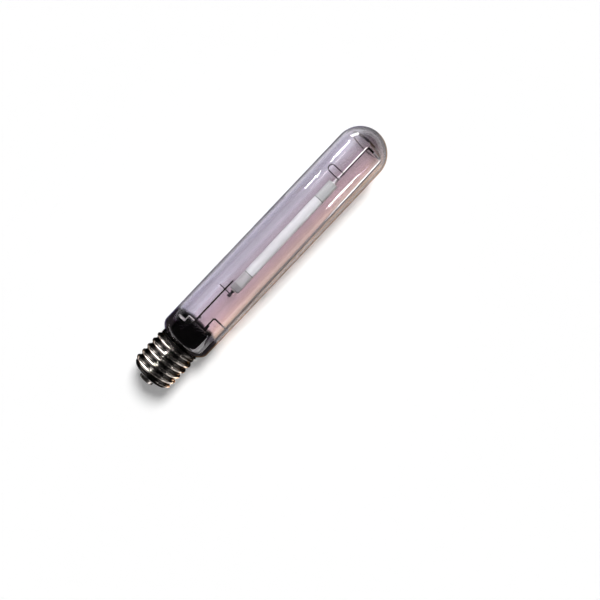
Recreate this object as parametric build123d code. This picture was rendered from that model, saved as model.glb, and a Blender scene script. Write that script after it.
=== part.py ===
from build123d import *
import os
from math import acos, ceil, cos, radians, sin, sqrt, tan

# A tubular high pressure sodium lamp with an E40 screw cap, lying on its side.
# Every piece is drawn standing on the contact button: Z runs along the lamp's axis from
# the button's face to the dome, and Y runs across the wire frame. When a piece is
# written, it is laid along X. X and Y stay level, and the drawn +X side faces the ground.
# All sizes are in millimetres.

# Screw cap, E40. Heights are counted from the contact button's face.
CONTACT_DIA = 13.4
CONTACT_HEIGHT = 3.6
CONTACT_EDGE = 0.9
CONTACT_HOLE = 2.6
CONTACT_SPIGOT_DIA = 10.0
SPIGOT_DEPTH = 1.4
SEAT_MARGIN = 0.7
BELLY_HEIGHT = 2.4
BELLY_BULGE = 0.5
THREAD_PITCH = 6.35
THREAD_MINOR = 35.7
THREAD_DEPTH = 1.8
THREAD_MAJOR = THREAD_MINOR + 2 * THREAD_DEPTH
ROOT_FLAT = 0.1
ROOT_SINK = 0.25
SHELL_ROOT = THREAD_MINOR / 2 + ROOT_FLAT
SHELL_WALL = 0.45
SHELL_BORE = 2 * (SHELL_ROOT - SHELL_WALL)
LIP_TURN = 2.5
LIP_FACE = 1.0
SHELL_LIP = SHELL_BORE / 2 - LIP_TURN
SHELL_BOTTOM = CONTACT_HEIGHT + BELLY_HEIGHT
SHELL_HEIGHT = 36.5
SHELL_RIM = SHELL_BOTTOM + SHELL_HEIGHT
RIM_WALL = 0.75
RIM_DIA = SHELL_BORE + 2 * RIM_WALL
RIM_BAND = 2.4
RIM_STEP = 0.4
CREST_RISE = 5.4
CREST_HALF_STEPS = 2
THREAD_CHAMFER = 0.5
RUNOUT_GAP = 0.2
RUNOUT_LENGTH = 2.7
TRIM_MARGIN = 0.1
INSULATOR_DEPTH = 6.5
INSULATOR_TOP = SHELL_BOTTOM + INSULATOR_DEPTH

# Wires and solder in the cap
WIRE_CLEARANCE = 0.2
CENTRE_OUT_DIA = 0.8
CENTRE_OUT_END = 1.0
CENTRE_OUT_RISE = 3.0
CONTACT_SOLDER_DEPTH = 2.2
SIDE_OUT_DIA = 0.7
SIDE_OUT_DROP = 2.6
NOTCH_CLEARANCE = 0.1
NOTCH_DEPTH = 1.7
NOTCH_WIDTH = SIDE_OUT_DIA + 2 * NOTCH_CLEARANCE
NOTCH_BOTTOM = SHELL_RIM - NOTCH_DEPTH
SIDE_OUT_HIGH = NOTCH_BOTTOM + NOTCH_CLEARANCE + SIDE_OUT_DIA / 2
SIDE_SOLDER_DIA = 2.6
SOLDER_PROUD = 1.0
SOLDER_ROUND = 0.8

# Outer bulb. The side wire and the cement fill the gap between its neck and the shell.
OVERALL_LENGTH = 288.0
BULB_DIA = 46.5
BULB_WALL = 1.2
NECK_DIA = SHELL_BORE - 2 * (SIDE_OUT_DIA + 2 * WIRE_CLEARANCE)
NECK_RISE = 7.5
NECK_END = INSULATOR_TOP + NECK_RISE
NECK_BEND = 1.6
SHOULDER_SINK = 0.8
SHOULDER_BEND = 7.4
SHOULDER_SLOPE = 45.0
NECK_TOP = SHELL_RIM - SHOULDER_SINK
CEMENT_TOP = NECK_TOP - NECK_BEND / 2
CEMENT_HEIGHT = 10.9
CEMENT_BOTTOM = CEMENT_TOP - CEMENT_HEIGHT
GLASS_INSIDE = BULB_DIA / 2 - BULB_WALL

# Stem: the flare sealed into the neck, and the flat press that holds the lead-ins
STEM_DIA = 19.2
STEM_WALL = 1.1
FLARE_HEIGHT = 9.0
FLARE_STEPS = 4
FLARE_TOP = NECK_END + FLARE_HEIGHT
STEM_LENGTH = 24.0
PRESS_START = NECK_END + STEM_LENGTH
PRESS_RUN = 7.0
PRESS_FULL = PRESS_START + PRESS_RUN
PRESS_HEIGHT = 13.3
PRESS_TOP = PRESS_FULL + PRESS_HEIGHT
PRESS_CHAMFER = 1.0
EXHAUST_DIA = 5.0
EXHAUST_BORE = 3.2
EXHAUST_COVER = 0.5
PRESS_THICK = EXHAUST_DIA + 2 * EXHAUST_COVER
EXHAUST_RISE = 4.0
EXHAUST_TIP = NECK_END + EXHAUST_RISE
EXHAUST_TAPER = 5.0
EXHAUST_TIP_WALL = 2.25
EXHAUST_SEAT = 1.0
EXHAUST_TOP = PRESS_FULL + EXHAUST_SEAT
PASSAGE_DIA = 2.56

# Arc tube, which leans a little across the frame, and its end tubes
ARC_FROM_PRESS = 42.9
ARC_FROM_DOME = 57.3
ARC_START = PRESS_TOP + ARC_FROM_PRESS
ARC_END = OVERALL_LENGTH - ARC_FROM_DOME
ARC_DIA = 9.2
ARC_WALL = 0.9
ARC_BORE = ARC_DIA - 2 * ARC_WALL
ARC_Y = -0.95
ARC_LEAN = 0.46
PLUG_LENGTH = 5.7
FRAME_DIA = 2.1
SLIDE_GAP = 0.15
NIOBIUM_WALL = 0.4
NIOBIUM_BORE = FRAME_DIA + 2 * SLIDE_GAP
NIOBIUM_DIA = NIOBIUM_BORE + 2 * NIOBIUM_WALL
LOWER_TAIL = 7.5
UPPER_TAIL = 8.0
NIOBIUM_LOW = ARC_START - LOWER_TAIL
NIOBIUM_HIGH = ARC_END + UPPER_TAIL
NIOBIUM_REACH = 1.5
NIOBIUM_END_WALL = 1.2
LEAN_DROP = 1.7
LEAN_HEIGHT = NIOBIUM_HIGH - LEAN_DROP
PINCH_RISE = 4.3
PINCH_HEIGHT = NIOBIUM_LOW + PINCH_RISE
PINCH_HALF = 1.4
PINCH_DIA = 2.3
FRIT_DIA = 6.0
FRIT_HEIGHT = 0.9
SHANK_DIA = 1.2
SHANK_REACH = 9.6
SHANK_ROOT = 0.8
COIL_WIRE_DIA = 1.0
COIL_TURNS = 3
COIL_FROM_TIP = 0.8
IGNITION_DIA = 0.6
IGNITION_FROM_START = 18.6
IGNITION_FROM_END = 18.2
IGNITION_LOW = ARC_START + IGNITION_FROM_START
IGNITION_HIGH = ARC_END - IGNITION_FROM_END

# Wires of the mount. Places across the frame are given on Y, and places in front of it
# on -X.
WELD_SINK = 0.05
LEFT_LEAD_DIA = 1.8
LEAD_GAP = 0.6
LEFT_LEAD_Y = (EXHAUST_DIA + LEFT_LEAD_DIA) / 2 + LEAD_GAP
RIGHT_LEAD_DIA = 1.9
LEAD_COVER = 1.25
RIGHT_LEAD_Y = LEAD_COVER - (STEM_DIA - RIGHT_LEAD_DIA) / 2
LEAD_RISE = 2.0
LEAD_FOOT = PRESS_START + LEAD_RISE
LEAD_REACH = 6.3
LEAD_TOP = PRESS_TOP + LEAD_REACH
LEAD_SPUR = 1.9
CROSS_DIA = 0.9
CROSS_RISE = 2.9
CROSS_HEIGHT = NIOBIUM_LOW + CROSS_RISE
CROSS_TAIL = 6.4
SUPPORT_DIA = 1.45
SUPPORT_CHAMFER = 0.18
SUPPORT_GAP = 0.9
SUPPORT_FOOT = PRESS_TOP + SUPPORT_GAP
SUPPORT_REACH = 9.9
SUPPORT_TOP = CROSS_HEIGHT + SUPPORT_REACH
LINK_DIA = 1.45
LINK_SHIFT = 1.0
LINK_Y = RIGHT_LEAD_Y + LINK_SHIFT
LINK_RISE = 7.8
LINK_HEIGHT = LEAD_TOP + LINK_RISE
LINK_BEND = 1.8
FRAME_CLEARANCE = 0.9
FRAME_TAIL = 15.9
FRAME_SLANT = 3.2
FRAME_FOOT_Y = FRAME_DIA / 2 + FRAME_CLEARANCE - GLASS_INSIDE
FRAME_FOOT = (FRAME_FOOT_Y, LINK_HEIGHT - FRAME_TAIL)
DOME_ROOM = 14.0
CORNER_DROP = 1.2
FRAME_CENTRE = (ARC_Y, OVERALL_LENGTH - DOME_ROOM)
FRAME_CORNER = (FRAME_FOOT_Y + FRAME_SLANT, FRAME_CENTRE[1] - CORNER_DROP)
FRAME_INSERT = 3.9
FRAME_END = NIOBIUM_HIGH - FRAME_INSERT
FRAME_BEND = 2.3
LOOP_DIA = 1.0
LOOP_BELOW = 2.5
LOOP_ABOVE = 4.1
LOOP_LOW = NIOBIUM_HIGH - LOOP_BELOW
LOOP_HIGH = NIOBIUM_HIGH + LOOP_ABOVE
LOOP_REACH = 9.55
LOOP_LOW_TAIL = 0.65
LOOP_HIGH_TAIL = 2.05

# Split hoop in the dome, welded to both sides of the frame wire
HOOP_CLEARANCE = 6.9
HOOP_RADIUS = GLASS_INSIDE - HOOP_CLEARANCE
HOOP_Y = 1.1
HOOP_WIDTH = 2.6
HOOP_THICK = 0.3
HOOP_DROP = 0.1
HOOP_CENTRE = FRAME_CENTRE[1] - HOOP_DROP
HOOP_SPLIT = FRAME_DIA - 2 * WELD_SINK

# Getter ring, a channel open towards the neck, on its stalk
GETTER_MEAN_RADIUS = 3.2
GETTER_WIDTH = 1.1
GETTER_HEIGHT = 1.4
GETTER_GROOVE = 0.6
GETTER_GAP = 0.65
GETTER_Y = STEM_DIA / 2 + GETTER_GAP + GETTER_MEAN_RADIUS + GETTER_WIDTH / 2
STALK_DIA = 0.7
STALK_RISE = 1.0
STALK_HEIGHT = PRESS_TOP + STALK_RISE
STALK_DROP = 4.7
GETTER_TOP = STALK_HEIGHT - STALK_DROP

AXIS_LAID = Rot(0, 90, 0)


def turned(outline):
    """Solid turned about the lamp's axis from a closed outline of radius and height."""
    return revolve(Plane.XZ * make_face(outline), Axis.Z)


def turned_points(*points):
    """Solid turned from a closed outline of straight runs."""
    return turned(Polyline(*points, close=True))


def swept_wire(path, dia):
    """Round wire along a path."""
    start = Plane(origin=path @ 0, z_dir=path % 0)
    return sweep(start * Circle(dia / 2), path=path)


def bent_wire(points, dia, bend):
    """Round wire through points, with every corner bent to the given radius."""
    return swept_wire(FilletPolyline(*points, radius=bend), dia)


def folded_wire(points, dia):
    """Thin soft wire through points, folded sharply at every corner."""
    path = Polyline(*points)
    start = Plane(origin=path @ 0, z_dir=path % 0)
    return sweep(start * Circle(dia / 2), path=path, transition=Transition.RIGHT)


def rod(dia, low, high, x=0.0, y=0.0):
    """Straight round rod along the lamp's axis, from one height to another."""
    return Pos(x, y, low) * Cylinder(
        dia / 2, high - low, align=(Align.CENTER, Align.CENTER, Align.MIN)
    )


def lean(piece):
    """Turn a piece drawn on the lamp's axis into the arc tube's place."""
    pivot = Pos(0, ARC_Y, LEAN_HEIGHT)
    return pivot * Rot(-ARC_LEAN, 0, 0) * Pos(0, 0, -LEAN_HEIGHT) * piece


def arc_tube_y(height):
    """Where the leaning arc tube's axis is at a height."""
    return ARC_Y + (height - LEAN_HEIGHT) * tan(radians(ARC_LEAN))


def filled_bulb(inset):
    """The bulb's form as a filled solid, with its surface moved in by inset."""
    radius = BULB_DIA / 2 - inset
    neck = NECK_DIA / 2 - inset
    dome_start = OVERALL_LENGTH - BULB_DIA / 2
    slope = tan(radians(SHOULDER_SLOPE))
    corner = NECK_TOP + (BULB_DIA - NECK_DIA) / 2 / slope + inset / sin(radians(SHOULDER_SLOPE))
    side = FilletPolyline(
        (neck, NECK_END),
        (neck, corner - (BULB_DIA / 2 - neck) / slope),
        (radius, corner - inset / slope),
        (radius, dome_start),
        radius=[NECK_BEND + inset, SHOULDER_BEND - inset],
    )
    dome = CenterArc((0, dome_start), radius, 0, 90)
    base = Polyline((0, dome_start + radius), (0, NECK_END), (neck, NECK_END))
    return turned(side + dome + base)


def outer_bulb():
    """Blown glass envelope, open where the flare closes the neck."""
    return filled_bulb(0.0) - filled_bulb(BULB_WALL)


def flare_side(tube_radius, rim):
    """Side of the flare in short runs, from the stem tube out to a point on the rim."""
    rim_radius, rim_height = rim
    drop = FLARE_TOP - rim_height
    points = []
    for step in range(FLARE_STEPS):
        share = step / FLARE_STEPS
        swell = 1 - sqrt(1 - share**2)
        points.append((tube_radius + (rim_radius - tube_radius) * swell, FLARE_TOP - drop * share))
    return [*points, rim]


def flare():
    """Flare of the stem, from the neck's inner wall in to the stem tube."""
    rim = NECK_DIA / 2 - BULB_WALL
    outer = STEM_DIA / 2
    inner = outer - STEM_WALL
    outer_side = flare_side(outer, (rim, NECK_END + BULB_WALL))
    inner_side = flare_side(inner, (rim - BULB_WALL / 2, NECK_END))
    return turned_points(
        (inner, PRESS_START), (outer, PRESS_START), *outer_side, (rim, NECK_END), *reversed(inner_side)
    )


def squeezed_tube(radius, flat_half, flat_from, top):
    """Round tube form pressed flat: full round at the start, two flats from flat_from up."""
    side = Polyline(
        (radius, PRESS_START),
        (flat_half, flat_from),
        (flat_half, top),
        (-flat_half, top),
        (-flat_half, flat_from),
        (-radius, PRESS_START),
        close=True,
    )
    wedge = extrude(Plane.XZ * make_face(side), radius, both=True)
    return wedge & rod(2 * radius, PRESS_START, top)


def press():
    """Press of the stem: the tube squeezed flat, with the cavity below it."""
    outer = squeezed_tube(STEM_DIA / 2, PRESS_THICK / 2, PRESS_FULL, PRESS_TOP)
    outer = chamfer(outer.faces().sort_by(Axis.Z)[-1].edges(), PRESS_CHAMFER)
    cavity_top = PRESS_FULL - STEM_WALL
    cavity = squeezed_tube(
        STEM_DIA / 2 - STEM_WALL, STEM_WALL / 2, cavity_top - STEM_WALL, cavity_top
    )
    return outer - cavity


def exhaust_passage():
    """Way from the bulb into the exhaust tube, out of the back of the press."""
    up = rod(EXHAUST_BORE, EXHAUST_TOP, EXHAUST_TOP + EXHAUST_BORE)
    side = Pos(0, 0, EXHAUST_TOP + EXHAUST_BORE / 2) * Rot(0, 90, 0)
    across = Cylinder(PASSAGE_DIA / 2, PRESS_THICK, align=(Align.CENTER, Align.CENTER, Align.MIN))
    return up + side * across


def exhaust_tube():
    """Glass exhaust tube, drawn off to a closed point."""
    outer = EXHAUST_DIA / 2
    inner = EXHAUST_BORE / 2
    return turned_points(
        (0, EXHAUST_TIP),
        (outer, EXHAUST_TIP + EXHAUST_TAPER),
        (outer, EXHAUST_TOP),
        (inner, EXHAUST_TOP),
        (inner, EXHAUST_TIP + EXHAUST_TAPER + (outer - inner) / 2),
        (0, EXHAUST_TIP + EXHAUST_TIP_WALL),
    )


def left_lead_in():
    """Left lead-in, with its cut end bent over towards the middle."""
    points = [
        (0, LEFT_LEAD_Y, LEAD_FOOT),
        (0, LEFT_LEAD_Y, LEAD_TOP),
        (0, LEFT_LEAD_Y - LEAD_SPUR, LEAD_TOP),
    ]
    return folded_wire(points, LEFT_LEAD_DIA)


def right_lead_in():
    """Right lead-in, straight, with a lap for the link's weld."""
    return rod(RIGHT_LEAD_DIA, LEAD_FOOT, LEAD_TOP, y=RIGHT_LEAD_Y)


def support_x():
    """Depth of the support rod, welded on the front of the left lead-in."""
    return -(LEFT_LEAD_DIA / 2 + SUPPORT_DIA / 2 - WELD_SINK)


def support_rod(lead):
    """Straight rod from the left lead-in up beside the arc tube's end."""
    blank = rod(SUPPORT_DIA, SUPPORT_FOOT, SUPPORT_TOP, support_x(), LEFT_LEAD_Y)
    blank = chamfer(blank.faces().sort_by(Axis.Z)[-1].edges(), SUPPORT_CHAMFER)
    return blank - lead


def frame_wire():
    """Long side rod, bent over at the dome and down the middle into the upper tube."""
    points = [
        (0, *FRAME_FOOT),
        (0, *FRAME_CORNER),
        (0, *FRAME_CENTRE),
        (0, FRAME_CENTRE[0], FRAME_END),
    ]
    return bent_wire(points, FRAME_DIA, FRAME_BEND)


def frame_link(lead, frame):
    """Bent wire from the right lead-in out to the side rod."""
    across = RIGHT_LEAD_Y - LINK_Y
    reach = (RIGHT_LEAD_DIA + LINK_DIA) / 2 - WELD_SINK
    depth = -sqrt(reach**2 - across**2)
    lean_of_rod = (FRAME_CORNER[0] - FRAME_FOOT[0]) / (FRAME_CORNER[1] - FRAME_FOOT[1])
    rod_y = FRAME_FOOT[0] + (LINK_HEIGHT - FRAME_FOOT[1]) * lean_of_rod
    points = [
        (depth, LINK_Y, SUPPORT_FOOT),
        (depth, LINK_Y, LINK_HEIGHT),
        (depth, rod_y, LINK_HEIGHT),
    ]
    return bent_wire(points, LINK_DIA, LINK_BEND) - lead - frame


def cross_wire(support, tube):
    """Wire across the back of the support rod, welded end-on to the lower tube."""
    depth = support_x() + SUPPORT_DIA / 2 + CROSS_DIA / 2 - WELD_SINK
    end_y = arc_tube_y(CROSS_HEIGHT)
    path = Line((depth, LEFT_LEAD_Y + CROSS_TAIL, CROSS_HEIGHT), (depth, end_y, CROSS_HEIGHT))
    pieces = (swept_wire(path, CROSS_DIA) - support - tube).solids()
    return pieces.sort_by(Axis.Y)[-1]


def expansion_loop(tube, frame):
    """U-shaped wire that joins the upper tube to the rod that slides in it."""
    low_x = -(NIOBIUM_DIA / 2 + LOOP_DIA / 2 - WELD_SINK)
    high_x = -(FRAME_DIA / 2 + LOOP_DIA / 2 - WELD_SINK)
    low = Vector(low_x, ARC_Y + LOOP_REACH, LOOP_LOW)
    high = Vector(high_x, ARC_Y + LOOP_REACH, LOOP_HIGH)
    nose = (low + high) / 2 + Vector(0, (high - low).length / 2, 0)
    path = Line((low_x, ARC_Y - LOOP_LOW_TAIL, LOOP_LOW), low)
    path += ThreePointArc(low, nose, high)
    path += Line(high, (high_x, ARC_Y - LOOP_HIGH_TAIL, LOOP_HIGH))
    return swept_wire(path, LOOP_DIA) - tube - frame


def dome_ring(frame):
    """Split hoop of strip, with its two ends welded to the sides of the frame wire."""
    strip = rod(2 * HOOP_RADIUS + HOOP_THICK, 0, HOOP_WIDTH)
    strip -= rod(2 * HOOP_RADIUS - HOOP_THICK, 0, HOOP_WIDTH)
    hoop = Pos(0, HOOP_Y, HOOP_CENTRE - HOOP_WIDTH / 2) * strip
    split = Pos(0, HOOP_Y - HOOP_RADIUS, HOOP_CENTRE) * Box(HOOP_SPLIT, 4 * HOOP_THICK, 2 * HOOP_WIDTH)
    return hoop - split - frame


def arc_tube():
    """Alumina tube that holds the arc."""
    return rod(ARC_DIA, ARC_START, ARC_END) - rod(ARC_BORE, ARC_START, ARC_END)


def end_plug(outer_face, inner_face):
    """Alumina plug in one end of the arc tube, with a hole for the niobium tube."""
    low, high = sorted((outer_face, inner_face))
    return rod(ARC_BORE, low, high) - rod(NIOBIUM_DIA, low, high)


def end_frit(face, way):
    """Cone of sealing glass round the niobium tube on a plug's outer face."""
    tube = NIOBIUM_DIA / 2
    return turned_points((tube, face), (FRIT_DIA / 2, face), (tube, face + way * FRIT_HEIGHT))


def lower_niobium_tube():
    """Niobium tube pinched shut at its outer end, with the shank in its inner end."""
    outer = NIOBIUM_DIA / 2
    bore = NIOBIUM_BORE / 2
    shank = SHANK_DIA / 2
    inner_end = ARC_START + PLUG_LENGTH + NIOBIUM_REACH
    end_wall = inner_end - NIOBIUM_END_WALL
    closed = PINCH_HEIGHT + PINCH_HALF
    return turned_points(
        (0, NIOBIUM_LOW),
        (outer, NIOBIUM_LOW),
        (outer, PINCH_HEIGHT - PINCH_HALF),
        (PINCH_DIA / 2, PINCH_HEIGHT - PINCH_HALF / 4),
        (PINCH_DIA / 2, PINCH_HEIGHT + PINCH_HALF / 4),
        (outer, closed),
        (outer, inner_end),
        (shank, inner_end),
        (shank, end_wall),
        (bore, end_wall),
        (bore, closed),
        (0, closed),
    )


def upper_niobium_tube():
    """Niobium tube open at its outer end, where the frame wire slides in it."""
    inner_end = ARC_END - PLUG_LENGTH - NIOBIUM_REACH
    tube = rod(NIOBIUM_DIA, inner_end, NIOBIUM_HIGH)
    tube -= rod(NIOBIUM_BORE, inner_end + NIOBIUM_END_WALL, NIOBIUM_HIGH)
    return tube - rod(SHANK_DIA, inner_end, inner_end + NIOBIUM_END_WALL)


def shank_span(plug_face, way):
    """Root and tip heights of the electrode shank inward from a plug's outer face."""
    inner_end = plug_face + way * (PLUG_LENGTH + NIOBIUM_REACH)
    return inner_end - way * (NIOBIUM_END_WALL + SHANK_ROOT), inner_end + way * SHANK_REACH


def electrode(plug_face, way):
    """Tungsten shank through the end of the niobium tube."""
    low, high = sorted(shank_span(plug_face, way))
    return rod(SHANK_DIA, low, high)


def electrode_coil(plug_face, way):
    """Tungsten coil wound close on the shank, its turns as ridges that merge."""
    tip = shank_span(plug_face, way)[1] - way * COIL_FROM_TIP
    shank = SHANK_DIA / 2
    points = [(shank, tip)]
    for turn in range(COIL_TURNS):
        start = tip - way * COIL_WIRE_DIA * turn
        points.append((shank + COIL_WIRE_DIA / 3, start))
        points.append((shank + COIL_WIRE_DIA, start - way * COIL_WIRE_DIA / 2))
    end = tip - way * COIL_WIRE_DIA * COIL_TURNS
    return turned_points(*points, (shank + COIL_WIRE_DIA / 3, end), (shank, end))


def ignition_wire():
    """Wire with a ring round each end of the arc tube and a run behind it."""
    inner = ARC_DIA / 2
    half = IGNITION_DIA / 2
    wire = rod(IGNITION_DIA, IGNITION_LOW, IGNITION_HIGH, x=inner + half)
    for height in (IGNITION_LOW, IGNITION_HIGH):
        wire += turned_points(
            (inner, height - half / 2),
            (inner + half, height - half),
            (inner + IGNITION_DIA, height - half / 2),
            (inner + IGNITION_DIA, height + half / 2),
            (inner + half, height + half),
            (inner, height + half / 2),
        )
    return wire


def getter_ring():
    """Ring of channel, with its groove towards the neck."""
    inner = GETTER_MEAN_RADIUS - GETTER_WIDTH / 2
    outer = GETTER_MEAN_RADIUS + GETTER_WIDTH / 2
    groove_inner = GETTER_MEAN_RADIUS - GETTER_GROOVE / 2
    groove_outer = GETTER_MEAN_RADIUS + GETTER_GROOVE / 2
    ring = turned_points(
        (inner, 0),
        (outer, 0),
        (outer, -GETTER_HEIGHT),
        (groove_outer, -GETTER_HEIGHT),
        (groove_outer, -GETTER_HEIGHT / 2),
        (groove_inner, -GETTER_HEIGHT / 2),
        (groove_inner, -GETTER_HEIGHT),
        (inner, -GETTER_HEIGHT),
    )
    return Pos(0, GETTER_Y, GETTER_TOP) * ring


def getter_stalk(lead):
    """Wire from the left lead-in out and down to the top of the getter ring."""
    drop_y = GETTER_Y - GETTER_MEAN_RADIUS
    points = [(0, LEFT_LEAD_Y, STALK_HEIGHT), (0, drop_y, STALK_HEIGHT), (0, drop_y, GETTER_TOP)]
    pieces = (folded_wire(points, STALK_DIA) - lead).solids()
    return pieces.sort_by(Axis.Y)[-1]


def knuckle_outline():
    """One crest of the rounded thread, its arcs as short chords, down into the wall.

    Crest and root have the one radius at which their arcs meet at half a pitch.
    """
    knuckle = ((THREAD_PITCH / 2) ** 2 + THREAD_DEPTH**2) / (4 * THREAD_DEPTH)
    crest_centre = THREAD_MAJOR / 2 - knuckle
    root_centre = THREAD_MINOR / 2 + knuckle
    steepest = acos((root_centre - crest_centre) / (2 * knuckle))
    root = acos((root_centre - SHELL_ROOT) / knuckle)
    foot_height = THREAD_PITCH / 2 - knuckle * sin(root)
    crest = []
    for step in range(-CREST_HALF_STEPS, CREST_HALF_STEPS + 1):
        angle = steepest * step / CREST_HALF_STEPS
        crest.append((crest_centre + knuckle * cos(angle), knuckle * sin(angle)))
    flank_radius, flank_height = crest[-1]
    flank_slope = (foot_height - flank_height) / (flank_radius - SHELL_ROOT)
    sunk_height = foot_height + ROOT_SINK * flank_slope
    sunk = SHELL_ROOT - ROOT_SINK
    return [(sunk, -sunk_height), *crest, (sunk, sunk_height)]


def lip_cone_offset():
    """Radius less height along the shell's outer cone beside the lip."""
    return SHELL_LIP + LIP_FACE - SHELL_BOTTOM


def thread_runout():
    """Height where the thread has sunk into the shell below the rim."""
    return SHELL_RIM - RIM_BAND - RUNOUT_GAP


def thread_envelope():
    """Turned space that the thread may fill, so that it runs out at both ends."""
    inner = SHELL_ROOT - ROOT_SINK - TRIM_MARGIN
    crest = THREAD_MAJOR / 2 + TRIM_MARGIN
    cone = lip_cone_offset() - TRIM_MARGIN
    return turned_points(
        (inner, inner - cone),
        (crest - THREAD_CHAMFER, crest - THREAD_CHAMFER - cone),
        (crest, crest - cone + THREAD_CHAMFER),
        (crest, thread_runout() - RUNOUT_LENGTH),
        (inner, thread_runout()),
    )


def thread_ridge():
    """Right-hand knuckle ridge of the thread, trimmed where it runs out."""
    outline = [(radius, 0, height) for radius, height in knuckle_outline()]
    quarter_ahead = THREAD_PITCH / 4
    start = SHELL_BOTTOM + CREST_RISE - quarter_ahead - THREAD_PITCH
    turns = ceil((thread_runout() - start) / THREAD_PITCH)
    path = Helix(THREAD_PITCH, turns * THREAD_PITCH, THREAD_MAJOR / 2)
    ridge = sweep(make_face(Polyline(*outline, close=True)), path=path, is_frenet=True)
    return (Pos(0, 0, start) * ridge) & thread_envelope()


def rim_notch():
    """Notch in the rim where the side wire comes out."""
    return Pos(0, -RIM_DIA / 2, NOTCH_BOTTOM) * Box(
        NOTCH_WIDTH, 4 * RIM_WALL, 2 * NOTCH_DEPTH, align=(Align.CENTER, Align.CENTER, Align.MIN)
    )


def cap_shell():
    """Rolled shell, turned in at the bottom, with its thread and plain rim."""
    bore = SHELL_BORE / 2
    body = turned_points(
        (SHELL_LIP, SHELL_BOTTOM),
        (SHELL_LIP + LIP_FACE, SHELL_BOTTOM),
        (SHELL_ROOT, SHELL_ROOT - lip_cone_offset()),
        (SHELL_ROOT, SHELL_RIM - RIM_BAND - RIM_STEP),
        (RIM_DIA / 2, SHELL_RIM - RIM_BAND),
        (RIM_DIA / 2, SHELL_RIM),
        (bore, SHELL_RIM),
        (bore, SHELL_BOTTOM + LIP_TURN),
    )
    return body + thread_ridge() - rim_notch()


def centre_contact():
    """Contact button with its spigot in the glass and a hole for the wire."""
    hole = CONTACT_HOLE / 2
    edge = CONTACT_DIA / 2
    return turned_points(
        (hole, 0),
        (edge - CONTACT_EDGE, 0),
        (edge - CONTACT_EDGE / 3, CONTACT_EDGE / 3),
        (edge, CONTACT_EDGE),
        (edge, CONTACT_HEIGHT),
        (CONTACT_SPIGOT_DIA / 2, CONTACT_HEIGHT),
        (CONTACT_SPIGOT_DIA / 2, CONTACT_HEIGHT + SPIGOT_DEPTH),
        (hole, CONTACT_HEIGHT + SPIGOT_DEPTH),
    )


def cap_insulator():
    """Black glass that closes the shell's bottom and carries the contact button."""
    bore = SHELL_BORE / 2
    seat = CONTACT_DIA / 2 + SEAT_MARGIN
    spigot = CONTACT_SPIGOT_DIA / 2
    hole = CENTRE_OUT_DIA / 2 + WIRE_CLEARANCE
    belly = ((seat + SHELL_LIP) / 2, (CONTACT_HEIGHT + SHELL_BOTTOM) / 2 - BELLY_BULGE)
    return turned_points(
        (SHELL_LIP, SHELL_BOTTOM),
        (bore, SHELL_BOTTOM + LIP_TURN),
        (bore, INSULATOR_TOP),
        (hole, INSULATOR_TOP),
        (hole, CONTACT_HEIGHT + SPIGOT_DEPTH),
        (spigot, CONTACT_HEIGHT + SPIGOT_DEPTH),
        (spigot, CONTACT_HEIGHT),
        (seat, CONTACT_HEIGHT),
        belly,
    )


def centre_lead_out():
    """Wire from the left lead-in through the insulator into the contact."""
    points = [
        (0, LEFT_LEAD_Y, LEAD_FOOT),
        (0, LEFT_LEAD_Y, EXHAUST_TIP + CENTRE_OUT_RISE),
        (0, 0, INSULATOR_TOP + CENTRE_OUT_RISE),
        (0, 0, CENTRE_OUT_END),
    ]
    return folded_wire(points, CENTRE_OUT_DIA)


def side_lead_out():
    """Wire from the right lead-in under the neck and up to the notch in the rim."""
    gap_y = -(NECK_DIA + SHELL_BORE) / 4
    low = NECK_END - SIDE_OUT_DROP
    points = [
        (0, RIGHT_LEAD_Y, LEAD_FOOT),
        (0, RIGHT_LEAD_Y, low),
        (0, gap_y, low),
        (0, gap_y, SIDE_OUT_HIGH),
        (0, -RIM_DIA / 2, SIDE_OUT_HIGH),
    ]
    return folded_wire(points, SIDE_OUT_DIA)


def contact_solder(wire):
    """Solder in the contact's hole, dressed flush with the button."""
    return rod(CONTACT_HOLE, 0, CONTACT_SOLDER_DEPTH) - wire


def side_solder(shell, wire):
    """Bead of solder in the rim's notch and on the shell beside it."""
    face = RIM_DIA / 2
    bead = Plane((0, -face - SOLDER_PROUD, SIDE_OUT_HIGH), z_dir=(0, 1, 0)) * Cylinder(
        SIDE_SOLDER_DIA / 2, 2 * SOLDER_PROUD, align=(Align.CENTER, Align.CENTER, Align.MIN)
    )
    bead = chamfer(bead.faces().sort_by(Axis.Y)[0].edges(), SOLDER_ROUND)
    inside = rod(SHELL_BORE, CEMENT_BOTTOM, SHELL_RIM + SIDE_SOLDER_DIA)
    pieces = (bead - inside - shell - wire).solids()
    return pieces.sort_by(SortBy.VOLUME)[-1]


def cap_cement():
    """Cement between the neck and the shell, parted where the side wire comes up."""
    ring = rod(SHELL_BORE, CEMENT_BOTTOM, CEMENT_TOP) - rod(NECK_DIA, CEMENT_BOTTOM, CEMENT_TOP)
    return ring - Pos(0, -SHELL_BORE / 2, CEMENT_BOTTOM) * Box(
        SIDE_OUT_DIA, 2 * (SHELL_BORE - NECK_DIA), 2 * CEMENT_HEIGHT
    )


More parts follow.
